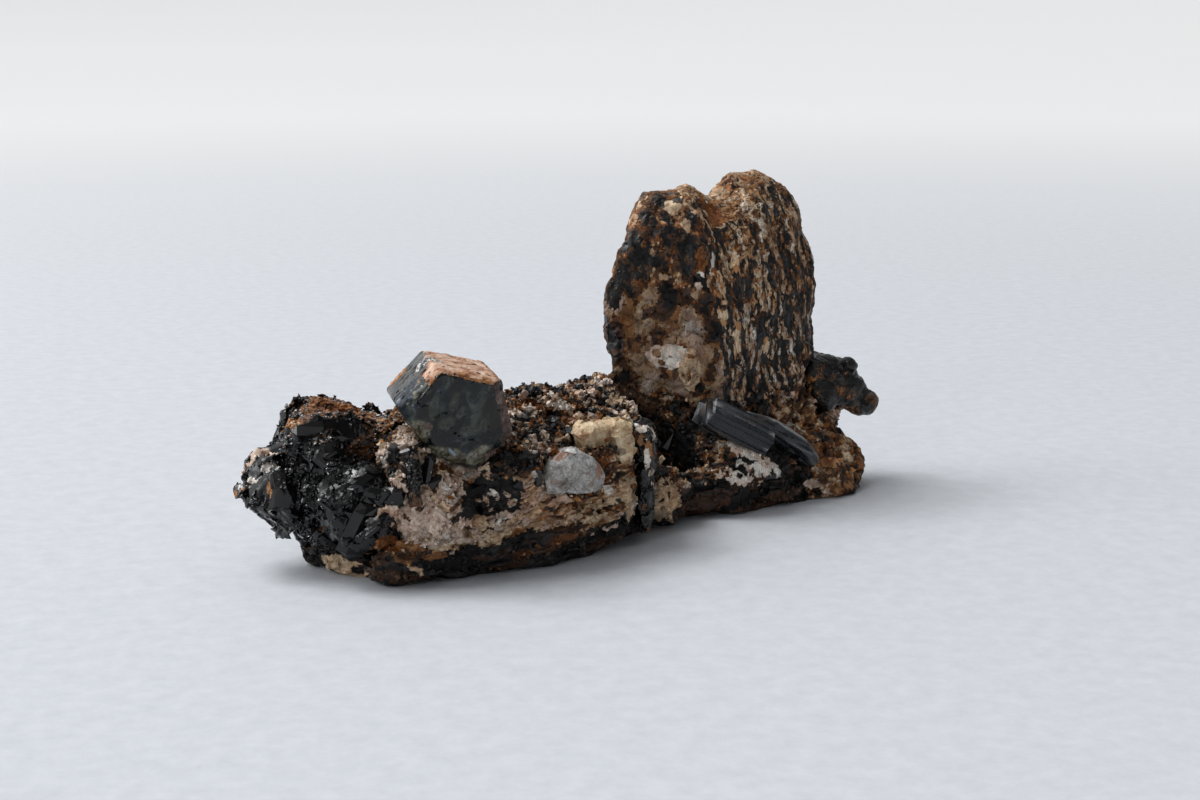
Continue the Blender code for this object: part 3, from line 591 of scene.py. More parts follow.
def settle_minerals(points, outward, zones, patches, salt):
    """What each point is made of and how far it stands out, as named values per point."""
    count = len(points)
    weights = zones(points, outward)
    bend = np.stack([cloud(points, 1.1, salt + n, 2) for n in (61, 64, 67)], axis=1)
    bent = points + GRAIN_BEND * MM * bend
    names = list(weights)
    chosen = np.argmax(np.stack([weights[name] for name in names], axis=1), axis=1)
    mineral = np.zeros(count, int)
    number = np.zeros(count, np.uint32)
    found = {title: np.zeros(count) for title in ("height", "shade", "crack", "upright", "bedded")}
    for index, name in enumerate(names):
        here = chosen == index
        if not here.any():
            continue
        zone = ZONES[name]
        spots = tilted(bent[here], BED_TILT) if name in BEDDED_ZONES else bent[here]
        grain, offset, border = grains(spots, zone.size, salt + 10 * index)
        small_size = tuple(SMALL_GRAIN * side for side in zone.size)
        small, inner, _ = grains(spots, small_size, salt + 10 * index + 5)
        luck = np.where(draw(small, salt + 1) < OWN_MINERAL, draw(small, salt + 3), draw(grain, salt + 3))
        if zone.veins:
            flow = cloud(spots, zone.spread, salt + 90 + index, 4)
            luck = ranked(zone.veins * flow + (1.0 - zone.veins) * (luck - 0.5))
        mineral[here] = pick_mineral(zone.shares, luck)
        edge = np.exp(-(border / CRACK_WIDTH) ** 2)
        height = facets(grain, offset, zone.step, zone.tilt, salt + 5) - zone.crack * edge
        if zone.flat:
            height += zone.flat * flat_tops(points[here], outward[here], grain, 0.12, 0.5, salt + 40)
        rough = (draw(grain, salt + 2) > zone.clean).astype(float)
        height += rough * facets(small, inner, 0.4 * zone.step, 0.5 * zone.tilt, salt + 6)
        stretch = tuple(0.6 * side / max(zone.size) for side in zone.size)
        height += zone.grit * cloud(spots, stretch, salt + 20, 2) + zone.veins * 0.12 * (luck - 0.5)
        found["height"][here] = height
        found["shade"][here] = 0.4 * draw(grain, salt + 7) + 0.6 * draw(small, salt + 8)
        # The crack layer darkens the joints between grains, and over whole zones it carries painted shade.
        found["crack"][here] = np.maximum(edge, PAINTED_SHADE_ZONES.get(name, 0.0))
        found["upright"][here] = UPRIGHT_ZONES.get(name, 0.0)
        found["bedded"][here] = BEDDED_ZONES.get(name, 0.0)
        number[here] = grain
    add_patches(points, mineral, found, patches, salt)
    found["gloss"] = draw(number, salt + 15)
    return mineral, found


# Sizes in millimetres of the specks and of the blocks that a patch is made of, and the width of its seams
PATCH_SPECK = 0.7
PATCH_BLOCK = 1.5
PATCH_SEAM = 0.10
# How strong a patch has to be to show, how ragged its edge is, and the share of its specks that show
PATCH_LIMIT = 0.35
PATCH_RAGGED = 0.30
PATCH_KEPT = 0.82
# Share of the fibres' specks that are one mineral darker
FIBRE_SPECKS = 0.45


def add_patches(points, mineral, found, patches, salt):
    """Changes the mineral where a named patch lies, with ragged edges."""
    fine = grains(points, PATCH_SPECK, salt + 300)[0]
    block, offset, border = grains(points, PATCH_BLOCK, salt + 305)
    ragged = PATCH_RAGGED * cloud(points, 1.0, salt + 310, 3)
    ragged += PATCH_RAGGED * (draw(fine, salt + 9) - 0.5)
    seam = np.exp(-(border / PATCH_SEAM) ** 2)
    crumb = facets(block, offset, 0.14, 0.20, salt + 13) - 0.10 * seam
    crumb += 0.05 * cloud(points, 0.5, salt + 14, 2)
    fibrous = 0.45 * cloud(points, (0.5, 0.5, 2.6), salt + 320, 3)
    kept = draw(fine, salt + 17) < PATCH_KEPT
    for patch in patches:
        strength = patch_field(points, patch)
        fibres = patch[5] in FIBRES
        taken = (strength > 0.0) & (strength + (fibrous if fibres else ragged) > PATCH_LIMIT) & kept
        mineral[taken] = MINERALS.index(FIBRES.get(patch[5], patch[5]))
        if fibres:
            mineral[taken & (draw(fine, salt + 12) < FIBRE_SPECKS)] -= 1
            found["upright"][taken] = 1.0
            found["height"][taken] = 0.3 * fibrous[taken]
            found["shade"][taken] = 0.75 + 0.25 * draw(fine, salt + 11)[taken]
            found["crack"][taken] = 0.0
            continue
        found["shade"][taken] = draw(fine, salt + 11)[taken]
        if patch[5] in PALE:
            found["shade"][taken] = 0.45 + 0.55 * draw(block, salt + 11)[taken]
            found["height"][taken] = crumb[taken]
            found["crack"][taken] = 0.55 * seam[taken]


def lift(points, patches):
    """How far the patches stand out or back, in millimetres."""
    total = np.zeros(len(points))
    for patch in patches:
        if patch[6]:
            total += patch[6] * patch_field(points, patch)
    return total


def dress_rock(piece, zones, patches, salt, coarse, voxel, triangles, blocks, grow=0.0):
    """Turns a plain solid into broken rock: lumps, blocks and grains, each with its mineral.

    Coarse and voxel are the two mesh sizes in millimetres. Blocks lists the size, step, tilt and flatness
    of the larger breaks. Grow is how far the whole skin moves out.
    """
    remesh(piece, coarse)
    spots, outward = places(piece), calm_facings(piece, 3)
    height = lift(spots, patches) + grow * off_the_floor(spots)
    for size, step, tilt, flat in blocks:
        number, offset, _ = grains(spots, size, salt + 500)
        calm = keep_flat(spots)
        height += facets(number, offset, step, tilt, salt + 510) * calm
        height += flat * flat_tops(spots, outward, number, 0.2, 0.8, salt + 520) * calm
    move_to(piece, spots + outward * height[:, None] * MM)
    remesh(piece, voxel)
    spots, outward = places(piece), calm_facings(piece, 4)
    mineral, found = settle_minerals(spots, outward, zones, patches, salt)
    height = found.pop("height") * off_the_floor(spots)
    for index, title in enumerate(MINERALS[1:], start=1):
        write_layer(piece.data, title, (mineral == index).astype(float))
    # Sunken places darken through the crack layer: painted shade in the hollows.
    found["crack"] = np.maximum(found["crack"], smooth(0.05, -0.40, height))
    for title, values in found.items():
        write_layer(piece.data, title, values)
    move_to(piece, spots + outward * height[:, None] * MM)
    apply_modifier(piece, "SMOOTH", factor=0.5, iterations=1)
    thin_out(piece, triangles)


def off_the_floor(points):
    """0 on the resting face and 1 a little above it, so that the specimen stays flat below."""
    return smooth(0.02, 0.6, points[:, 2] / MM)


def keep_flat(points):
    """Less breaking on the slab's faces, none on the resting face."""
    return (1.0 - 0.55 * on_slab(points, 11.0, 14.0)) * off_the_floor(points)


# Materials

class Nodes:
    """A short way to build a material's node tree."""

    def __init__(self, title):
        self.material = bpy.data.materials.new(title)
        self.material.use_nodes = True
        self.tree = self.material.node_tree
        self.shader = self.tree.nodes["Principled BSDF"]
        self.where = self.add("ShaderNodeTexCoord").outputs["Object"]

    def add(self, kind, **settings):
        node = self.tree.nodes.new(kind)
        for setting, value in settings.items():
            setattr(node, setting, value)
        return node

    def link(self, value, socket):
        if isinstance(value, bpy.types.NodeSocket):
            self.tree.links.new(value, socket)
        else:
            socket.default_value = value

    def layer(self, title):
        return self.add("ShaderNodeAttribute", attribute_name=title).outputs["Fac"]

    def noise(self, size, detail=4.0, rough=0.6, stretch=None, turn=0.0, bend=0.0):
        """Noise with features of the given size in millimetres, drawn out along the axes by stretch."""
        node = self.add("ShaderNodeTexNoise")
        node.inputs["Scale"].default_value = 1.0 / (size * MM)
        node.inputs["Detail"].default_value = detail
        node.inputs["Roughness"].default_value = rough
        node.inputs["Distortion"].default_value = bend
        where = self.where
        if stretch:
            mapping = self.add("ShaderNodeMapping", vector_type="TEXTURE")
            mapping.inputs["Scale"].default_value = stretch
            mapping.inputs["Rotation"].default_value = (0.0, math.radians(turn), 0.0)
            self.link(where, mapping.inputs["Vector"])
            where = mapping.outputs["Vector"]
        self.link(where, node.inputs["Vector"])
        return node.outputs["Fac"]

    def blend(self, share, first, second):
        """A number between two others."""
        node = self.add("ShaderNodeMix", data_type="FLOAT")
        self.link(share, node.inputs[0])
        self.link(first, node.inputs[2])
        self.link(second, node.inputs[3])
        return node.outputs[0]

    def cells(self, size, feature="F1"):
        node = self.add("ShaderNodeTexVoronoi", feature=feature)
        node.inputs["Scale"].default_value = 1.0 / (size * MM)
        self.link(self.where, node.inputs["Vector"])
        return node

    def math(self, kind, first, second=0.0, clamp=False):
        node = self.add("ShaderNodeMath", operation=kind, use_clamp=clamp)
        self.link(first, node.inputs[0])
        self.link(second, node.inputs[1])
        return node.outputs[0]

    def weigh(self, first, share, second, other):
        """The first number by its share, and the second by the other share, added up."""
        return self.math("ADD", self.math("MULTIPLY", first, share), self.math("MULTIPLY", second, other))

    def span(self, value, low, high, new_low=0.0, new_high=1.0):
        node = self.add("ShaderNodeMapRange", interpolation_type="SMOOTHSTEP")
        self.link(value, node.inputs["Value"])
        for title, number in (("From Min", low), ("From Max", high),
                              ("To Min", new_low), ("To Max", new_high)):
            self.link(number, node.inputs[title])
        return node.outputs["Result"]

    def ramp(self, value, stops):
        node = self.add("ShaderNodeValToRGB")
        band = node.color_ramp
        while len(band.elements) < len(stops):
            band.elements.new(0.5)
        for element, (place, tint) in zip(band.elements, stops):
            element.position = place
            element.color = (*tint, 1.0)
        self.link(value, node.inputs["Fac"])
        return node.outputs["Color"]

    def mix(self, share, first, second, blend="MIX"):
        node = self.add("ShaderNodeMix", data_type="RGBA", blend_type=blend)
        self.link(share, node.inputs["Factor"])
        for value, socket in ((first, node.inputs["A"]), (second, node.inputs["B"])):
            found = [s for s in node.inputs if s.name == socket.name and s.type == "RGBA"][0]
            self.link((*value, 1.0) if isinstance(value, tuple) else value, found)
        return [s for s in node.outputs if s.type == "RGBA"][0]

    def bump(self, height, strength, distance):
        node = self.add("ShaderNodeBump")
        node.inputs["Strength"].default_value = strength
        node.inputs["Distance"].default_value = distance * MM
        self.link(height, node.inputs["Height"])
        self.link(node.outputs["Normal"], self.shader.inputs["Normal"])

    def set(self, title, value):
        self.link(value, self.shader.inputs[title])


# Colours of each mineral from its dark spots to its light ones
TINTS = {
    "dark": [(0.34, (0.0035, 0.0033, 0.0034)), (0.54, (0.011, 0.0105, 0.011)),
             (0.72, (0.055, 0.047, 0.042))],
    "black": [(0.34, (0.0020, 0.0020, 0.0024)), (0.60, (0.0055, 0.0055, 0.0062)),
              (0.78, (0.022, 0.021, 0.021))],
    "brown": [(0.32, (0.022, 0.010, 0.005)), (0.50, (0.085, 0.040, 0.017)), (0.70, (0.25, 0.140, 0.068))],
    "rust": [(0.32, (0.060, 0.019, 0.004)), (0.50, (0.210, 0.072, 0.015)), (0.70, (0.48, 0.225, 0.070))],
    "tan": [(0.32, (0.130, 0.050, 0.015)), (0.50, (0.370, 0.185, 0.075)), (0.70, (0.64, 0.420, 0.220))],
    "cream": [(0.32, (0.160, 0.090, 0.044)), (0.48, (0.490, 0.355, 0.225)), (0.64, (0.84, 0.705, 0.530))],
    "pink": [(0.32, (0.310, 0.205, 0.150)), (0.48, (0.540, 0.415, 0.335)), (0.62, (0.76, 0.655, 0.565))],
    "white": [(0.32, (0.240, 0.205, 0.170)), (0.48, (0.620, 0.575, 0.515)), (0.62, (0.93, 0.905, 0.860))],
}
IRON_STAIN = (0.72, 0.40, 0.20)
BLACK_SPECK = (0.02, 0.017, 0.015)
# Dark brown that the crack layer mixes in: dirt in the joints between grains, and painted shade in hollows
# and dim zones
CRACK_DIRT_AND_SHADE = (0.26, 0.17, 0.11)


def rock_material(title, dark, gloss, dull_gloss, sheen, relief):
    """Broken rock whose grains take their mineral from the mesh, with stains, dust, fine grit, and painted
    shade in its hollows and dim zones.
    """
    n = Nodes(title)
    even = n.noise(0.22, 5.0, 0.7)
    upright = n.noise(0.20, 5.0, 0.7, (1.0, 1.0, 6.0))
    bedded = n.noise(0.20, 5.0, 0.7, (6.0, 6.0, 1.0), -BED_TILT)
    fine = n.blend(n.layer("bedded"), n.blend(n.layer("upright"), even, upright), bedded)
    middle = n.noise(0.9, 4.0, 0.6)
    broad = n.noise(4.5, 3.0, 0.55)
    blend = n.weigh(fine, 0.62, middle, 0.38)
    edge = n.math("MULTIPLY", n.math("SUBTRACT", fine, 0.5), 1.5)
    colour = n.ramp(blend, TINTS[dark])
    for mineral in MINERALS[1:]:
        share = n.span(n.math("ADD", n.layer(mineral), edge), 0.34, 0.66)
        colour = n.mix(share, colour, n.ramp(blend, TINTS[mineral]))
    stain = n.span(n.weigh(broad, 0.6, middle, 0.4), 0.47, 0.62)
    colour = n.mix(n.math("MULTIPLY", stain, 0.5), colour, IRON_STAIN, "MULTIPLY")
    specks = n.span(n.cells(0.55).outputs["Distance"], 0.16, 0.10)
    colour = n.mix(n.math("MULTIPLY", specks, 0.5), colour, BLACK_SPECK)
    shade = n.span(n.layer("shade"), 0.0, 1.0, 0.65, 1.3)
    # The crack layer darkens the colour: dirt in the joints between grains, and painted shade in hollows,
    # under the overhanging bottom and on the slab's dim blocks.
    darkening = n.mix(n.math("MULTIPLY", n.layer("crack"), 0.8), (1.0, 1.0, 1.0), CRACK_DIRT_AND_SHADE)
    grey = n.add("ShaderNodeCombineColor")
    for channel in ("Red", "Green", "Blue"):
        n.link(shade, grey.inputs[channel])
    n.set("Base Color", n.mix(1.0, n.mix(1.0, colour, darkening, "MULTIPLY"), grey.outputs["Color"], "MULTIPLY"))
    dull = n.math("ADD", n.math("ADD", n.layer("cream"), n.layer("pink")),
                  n.math("ADD", n.layer("rust"), n.layer("tan")), clamp=True)
    shiny = n.math("ADD", n.layer("gloss"), n.math("MULTIPLY", fine, 0.3))
    n.set("Roughness", n.blend(dull, n.span(shiny, 0.45, 0.95, dull_gloss, gloss), 0.85))
    n.set("Specular IOR Level", sheen)
    grit = n.noise(0.09, 3.0, 0.6)
    n.bump(n.weigh(fine, 0.7, grit, 0.4), relief, 0.12)
    return n.material


# The slate-black prism and blade, from their dark ribs to their pale scratches
SLATE_TINTS = [(0.35, (0.007, 0.009, 0.012)), (0.60, (0.024, 0.029, 0.036)),
               (0.76, (0.08, 0.085, 0.092)), (0.90, (0.30, 0.29, 0.28))]


def schorl_material(title):
    """Slate-black tourmaline with fine pale scratches along its length."""
    n = Nodes(title)
    fine = n.noise(0.22, 4.0, 0.7)
    broad = n.noise(2.2, 3.0, 0.5)
    lines = n.math("ADD", n.layer("line"), n.math("MULTIPLY", n.math("SUBTRACT", fine, 0.5), 0.5))
    colour = n.ramp(lines, SLATE_TINTS)
    dusty = n.span(n.weigh(broad, 0.6, fine, 0.4), 0.54, 0.66)
    colour = n.mix(n.math("MULTIPLY", dusty, 0.45), colour, (0.12, 0.07, 0.035))
    n.set("Base Color", colour)
    n.set("Roughness", n.span(lines, 0.3, 0.8, 0.22, 0.5))
    n.bump(fine, 0.35, 0.06)
    return n.material


# The beryl inside: its clouds from dark to light, the haze over them, the olive stain, and its clear depth
BERYL_TINTS = [(0.42, (0.001, 0.002, 0.003)), (0.48, (0.007, 0.011, 0.013)),
               (0.53, (0.024, 0.032, 0.031)), (0.61, (0.120, 0.142, 0.122))]
VEIL_TINTS = [(0.40, (0.006, 0.009, 0.013)), (0.50, (0.022, 0.030, 0.038)),
              (0.58, (0.065, 0.082, 0.10)), (0.68, (0.28, 0.32, 0.37))]
OLIVE_TINTS = [(0.40, (0.050, 0.036, 0.018)), (0.50, (0.210, 0.185, 0.125)), (0.62, (0.56, 0.530, 0.420))]
BERYL_IOR = 1.575
BERYL_DEPTH_COLOUR = (0.36, 0.60, 0.66)
BERYL_DENSITY = 520.0


def aquamarine_material():
    """Blue-grey beryl: clear but clouded, with olive wisps under a worn skin."""
    n = Nodes("aquamarine_clear")
    wisps = n.noise(2.4, 7.0, 0.62, (0.8, 0.8, 1.5), 20.0, 0.8)
    fine = n.noise(0.35, 5.0, 0.7)
    spots = n.noise(0.9, 4.0, 0.6)
    broad = n.noise(4.5, 3.0, 0.5)
    colour = n.ramp(wisps, BERYL_TINTS)
    colour = n.mix(n.span(broad, 0.50, 0.62, 0.0, 0.5), colour, (0.040, 0.032, 0.018))
    colour = n.mix(n.span(spots, 0.54, 0.68, 0.0, 0.45), colour, (0.055, 0.078, 0.100))
    veil = n.ramp(n.weigh(spots, 0.55, fine, 0.45), VEIL_TINTS)
    colour = n.mix(n.layer("haze"), colour, veil)
    cloudy = n.math("MULTIPLY", n.layer("wisp"), n.span(fine, 0.35, 0.65, 0.20, 0.75))
    colour = n.mix(cloudy, colour, (0.125, 0.138, 0.102))
    rim = n.ramp(n.weigh(spots, 0.5, fine, 0.5), OLIVE_TINTS)
    colour = n.mix(n.math("MULTIPLY", n.layer("olive"), 0.85), colour, rim)
    n.set("Base Color", colour)
    n.set("Transmission Weight", 0.5)
    n.set("Specular IOR Level", 0.07)
    n.set("IOR", BERYL_IOR)
    n.set("Roughness", n.span(spots, 0.40, 0.65, 0.06, 0.30))
    n.bump(n.weigh(spots, 0.8, fine, 0.25), 0.30, 0.10)
    absorb = n.add("ShaderNodeVolumeAbsorption")
    absorb.inputs["Color"].default_value = (*BERYL_DEPTH_COLOUR, 1.0)
    absorb.inputs["Density"].default_value = BERYL_DENSITY
    n.tree.links.new(absorb.outputs["Volume"], n.tree.nodes["Material Output"].inputs["Volume"])
    return n.material


def coating_material(title, tints, dark, size):
    """Opaque film of feldspar and rust on a crystal's faces, mottled at the given size."""
    n = Nodes(title)
    fine = n.noise(0.25, 5.0, 0.7)
    broad = n.noise(size, 4.0, 0.6)
    blend = n.weigh(fine, 0.40, broad, 0.60)
    colour = n.ramp(blend, tints)
    specks = n.span(n.cells(0.75).outputs["Distance"], 0.26, 0.14)
    colour = n.mix(n.math("MULTIPLY", specks, dark), colour, (0.04, 0.022, 0.014))
    n.set("Base Color", colour)
    n.set("Roughness", 0.5)
    n.set("Specular IOR Level", 0.2)
    n.bump(fine, 0.5, 0.12)
    return n.material


def pale_material(title, tints, brown, rough):
    """A pale crystal with cloudy zones, dirt in its cracks and stains."""
    n = Nodes(title)
    cloudy = n.noise(1.5, 5.0, 0.62)
    fine = n.noise(0.28, 5.0, 0.7)
    blend = n.weigh(fine, 0.4, cloudy, 0.6)
    colour = n.ramp(blend, tints)
    for kind, tint in (("brown", brown), ("rust", (0.30, 0.10, 0.025))):
        ragged = n.math("ADD", n.layer(kind), n.math("MULTIPLY", n.math("SUBTRACT", fine, 0.5), 0.9))
        colour = n.mix(n.math("MULTIPLY", n.span(ragged, 0.25, 1.1), 0.7), colour, tint)
    darkening = n.math("MULTIPLY", n.layer("crack"), n.span(cloudy, 0.4, 0.6, 0.3, 0.9))
    colour = n.mix(darkening, colour, (0.12, 0.07, 0.04))
    n.set("Base Color", colour)
    n.set("Roughness", n.span(fine, 0.35, 0.65, rough, rough + 0.25))
    n.bump(blend, 0.5, 0.15)
    return n.material


# Pieces

def crease(piece, degrees):
    """Smooth shading, with sharp edges where faces meet at more than the angle."""
    for face in piece.data.polygons:
        face.use_smooth = True
    piece.data.set_sharp_from_angle(angle=math.radians(degrees))


# Angle in degrees above which the black tourmaline's broken faces meet in a sharp edge
BROKEN_EDGE = 24


def make_rock(material):
    piece = copy_of("matrix", "rock_matrix")
    dress_rock(piece, zone_weights, ROCK_PATCHES, salt=100, coarse=0.36, voxel=0.215, triangles=196000,
               blocks=[(2.6, 0.30, 0.3, 0.6), (1.3, 0.15, 0.2, 0.4)])
    return finish_piece(piece, material, "rock", "matrix")


def all_one(name):
    """Zone weights for a piece that is a single zone throughout."""
    return lambda points, outward: {name: np.ones(len(points))}


def finish_piece(piece, material, slot, node, sharp=None):
    """Keeps one closed skin, gives it its look and hangs it on the root body."""
    keep_largest(piece)
    if sharp:
        crease(piece, sharp)
    piece.data.materials.append(material)
    ride(piece, slot, node)
    return piece


def make_mass(material):
    piece = copy_of("schorl_mass", "tourmaline_mass")
    dress_rock(piece, black_zones, MASS_PATCHES, salt=200, coarse=0.18, voxel=0.125, triangles=90000,
               blocks=[(3.0, 0.36, 0.3, 0.95), (1.5, 0.12, 0.2, 0.5)], grow=0.35)
    return finish_piece(piece, material, "black_tourmaline", "schorl_mass", BROKEN_EDGE)


def make_end(material):
    piece = copy_of("end_crystal", "end_tourmaline")
    dress_rock(piece, all_one("black"), END_PATCHES, salt=220, coarse=0.18, voxel=0.125, triangles=24000,
               blocks=[(2.6, 0.15, 0.2, 0.9)])
    finish_piece(piece, material, "crusted_tourmaline", "end_crystal", BROKEN_EDGE)


# Size and height of the rounded knobs in millimetres, and where the smooth horn starts along X
KNOB_SIZE = 2.3
KNOB_RISE = 1.1
HORN_START = 34.0


def make_knobs(material):
    piece = copy_of("knob_cluster", "dark_knob_cluster")
    remesh(piece, 0.25)
    apply_modifier(piece, "SMOOTH", factor=0.6, iterations=8)
    spots, outward = places(piece), calm_facings(piece, 3)
    offset = grains(spots, KNOB_SIZE, 241)[1]
    knobby = smooth(HORN_START + 1.0, HORN_START - 1.0, spots[:, 0] / MM)
    height = KNOB_RISE * (0.30 - (offset ** 2).sum(axis=1)) * knobby
    move_to(piece, spots + outward * height[:, None] * MM)
    dress_rock(piece, all_one("knob"), KNOB_PATCHES, salt=240, coarse=0.2, voxel=0.14, triangles=30000,
               blocks=[], grow=0.35)
    apply_modifier(piece, "SMOOTH", factor=0.5, iterations=1)
    finish_piece(piece, material, "dark_knobs", "knob_cluster")


PLATE_PATCHES = [
    (640, 428, 9, 9, 0, "white", 0.1),
    (647, 452, 4, 22, 0, "white", 0.1),
    (632, 500, 8, 14, 0, "brown", 0.0),
    (640, 535, 8, 12, 0, "brown", 0.0),
]


def make_plate(material):
    piece = copy_of("schorl_plate", "tourmaline_plate")
    dress_rock(piece, all_one("plate"), PLATE_PATCHES, salt=260, coarse=0.25, voxel=0.12, triangles=20000,
               blocks=[(1.5, 0.15, 0.2, 0.6)])
    finish_piece(piece, material, "black_tourmaline", "schorl_plate")


def make_needle(material):
    piece = copy_of("schorl_needle", "tourmaline_needle")
    dress_rock(piece, all_one("plate"), [], salt=280, coarse=0.2, voxel=0.10, triangles=8000,
               blocks=[(1.0, 0.1, 0.2, 0.5)])
    finish_piece(piece, material, "black_tourmaline", "schorl_needle")


def longest_axis(points):
    centred = points - points.mean(axis=0)
    values, vectors = np.linalg.eigh(centred.T @ centred)
    return vectors[:, np.argmax(values)]


def striate(piece, voxel, depth, size, salt, grow):
    """Fine grooves along a crystal's length."""
    remesh(piece, voxel)
    spots, outward = places(piece), facings(piece)
    axis = longest_axis(spots)
    across = spots - np.outer(spots @ axis, axis)
    lines = cloud(across + 0.02 * np.outer(spots @ axis, axis), size, salt, 3)
    side = 1.0 - np.abs(outward @ axis)
    worn = 0.5 * cloud(spots, 1.3, salt + 9, 3)
    height = (depth * lines + depth * worn) * side + grow
    write_layer(piece.data, "line", 0.5 + 0.5 * lines)
    move_to(piece, spots + outward * height[:, None] * MM)


# Greatest depth of the grooves between the prism's ribs, in millimetres
RIB_DEPTH = 0.16


def ribbed_outline(angles, radius, side_ribs, luck):
    """The prism's cross-section: each flat side cut into ribs at chance places and depths."""
    outline = []
    for start, end in zip(angles, np.roll(angles, -1)):
        one = radius * np.array([math.cos(start), math.sin(start)])
        two = radius * np.array([math.cos(end), math.sin(end)])
        inward = -(one + two) / np.linalg.norm(one + two)
        cuts = np.sort(np.concatenate([[0.0, 1.0], luck.random(side_ribs - 1)]))
        for low, high in zip(cuts, cuts[1:]):
            dip = RIB_DEPTH * MM * luck.random() * (0.15 < 0.5 * (low + high) < 0.85)
            for share in (low + 0.08 * (high - low), high - 0.08 * (high - low)):
                outline.append(one + share * (two - one) + inward * dip)
    return np.array(outline)


def ribbed_prism(node, title, material, grow, side_ribs, rings, salt):
    """A crisp prism with flat ribs along its length, between the ends of the node's own prism."""
    corners = places(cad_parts[node])
    middle = corners.mean(axis=0)
    axis = longest_axis(corners)
    reach = (corners - middle) @ axis
    near = corners[reach < 0]
    across = near - middle - np.outer((near - middle) @ axis, axis)
    first = across[0] / np.linalg.norm(across[0])
    second = np.cross(axis, first)
    angles = np.unique(np.round(np.arctan2(across @ second, across @ first), 2))
    radius = np.linalg.norm(across, axis=1).mean() + grow * MM
    luck = np.random.default_rng(salt)
    outline = ribbed_outline(angles, radius, side_ribs, luck)
    count = len(outline)
    half = 0.5 * (reach.max() - reach.min()) + grow * MM
    points, faces = [], []
    for ring in range(rings + 1):
        along = half * (2.0 * ring / rings - 1.0)
        shift = 0.015 * MM * luck.normal(size=2)
        inset = 1.0 - (0.10 if ring in (0, rings) else 0.0) - 0.015 * luck.random()
        plane = outline * inset + shift
        points.append(middle + np.outer(plane[:, 0], first) + np.outer(plane[:, 1], second) + axis * along)
    for ring in range(rings):
        for n in range(count):
            a, b = ring * count + n, ring * count + (n + 1) % count
            faces.append((a, b, b + count, a + count))
    faces.append(tuple(reversed(range(count))))
    faces.append(tuple(range(rings * count, (rings + 1) * count)))
    mesh = bpy.data.meshes.new(title)
    mesh.from_pydata(np.concatenate(points).tolist(), [], faces)
    shape = bmesh.new()
    shape.from_mesh(mesh)
    caps = [face for face in shape.faces if len(face.verts) > 4]
    bmesh.ops.inset_region(shape, faces=caps, thickness=0.35 * MM, depth=0.12 * MM)
    bmesh.ops.triangulate(shape, faces=[face for face in shape.faces if len(face.verts) > 4])
    bmesh.ops.recalc_face_normals(shape, faces=shape.faces)
    shape.to_mesh(mesh)
    shape.free()
    piece = new_piece(title, mesh)
    spots = places(piece)
    local = spots - np.outer((spots - middle) @ axis, axis) * 0.97
    write_layer(mesh, "line", 0.5 + 0.5 * cloud(local, 0.35, salt, 3))
    mesh.materials.append(material)
    ride(piece, "black_tourmaline", node)


def make_blade(material):
    piece = copy_of("schorl_blade", "tourmaline_blade")
    striate(piece, voxel=0.09, depth=0.10, size=0.5, salt=31, grow=0.12)
    thin_out(piece, 9000)
    piece.data.materials.append(material)
    ride(piece, "black_tourmaline", "schorl_blade")


# Films on the aquamarine: colours, how dark their specks are, size of their mottling in millimetres
FILMS = {
    "peach": ([(0.38, (0.09, 0.035, 0.016)), (0.45, (0.30, 0.125, 0.058)), (0.51, (0.50, 0.300, 0.195)),
               (0.62, (0.66, 0.500, 0.400))], 1.0, 1.6),
    "rusty": ([(0.36, (0.07, 0.030, 0.012)), (0.50, (0.30, 0.120, 0.040)),
               (0.62, (0.50, 0.290, 0.150))], 0.5, 1.0),
    "mauve": ([(0.36, (0.03, 0.018, 0.016)), (0.50, (0.085, 0.055, 0.048)),
               (0.64, (0.27, 0.200, 0.170))], 0.5, 1.2),
    "speckled": ([(0.44, (0.006, 0.006, 0.007)), (0.50, (0.10, 0.100, 0.100)),
                  (0.57, (0.74, 0.730, 0.700))], 0.6, 0.5),
    "dark": ([(0.34, (0.006, 0.006, 0.007)), (0.60, (0.03, 0.030, 0.030))], 0.4, 1.0),
    # Frosted skin whose pale blue-white specks are painted glints.
    "frost_and_glints": ([(0.40, (0.005, 0.007, 0.010)), (0.49, (0.018, 0.025, 0.034)), (0.56, (0.050, 0.066, 0.085)),
               (0.66, (0.32, 0.370, 0.420))], 0.5, 0.8),
    # A painted highlight: a pale blue line along a scratch.
    "scratch_highlight": ([(0.30, (0.09, 0.13, 0.17)), (0.60, (0.24, 0.32, 0.38))], 0.0, 1.0),
}
# Where the left side of the aquamarine is frosted; the film's pale blue-white specks there are painted
# glints
FROST = (404, 398, 26, 34, 0)
# Small films on the aquamarine: pixel, half width and height, turn, kind
AQUAMARINE_COATS = [
    (429, 426, 4, 3, 0, "mauve"),
    (424, 364, 15, 9, 10, "speckled"),
    (437, 362, 6, 7, 0, "speckled"),
    (399, 377, 15, 3, 42, "rusty"),
    # Painted highlight along a scratch on the front face.
    (452, 452, 6, 0.6, -45, "scratch_highlight"),
    (461, 375, 9, 2.5, -10, "rusty"),
    (487, 381, 6, 3, -12, "rusty"),
    (492, 372, 5, 3, -30, "rusty"),
    (447, 367, 2, 2, 0, "dark"),
    (462, 369, 1.6, 1.6, 0, "dark"),
    (479, 375, 2.4, 2, 0, "dark"),
    (398, 425, 6, 5, 0, "rusty"),
    (394, 400, 4, 4, 0, "dark"),
    (404, 399, 3, 3, 0, "dark"),
    (398, 392, 2, 3, 0, "dark"),
    (425, 372, 4, 3, 0, "dark"),
    (500, 388, 3, 3, 0, "dark"),
    (474, 366, 3, 2, 0, "dark"),
]
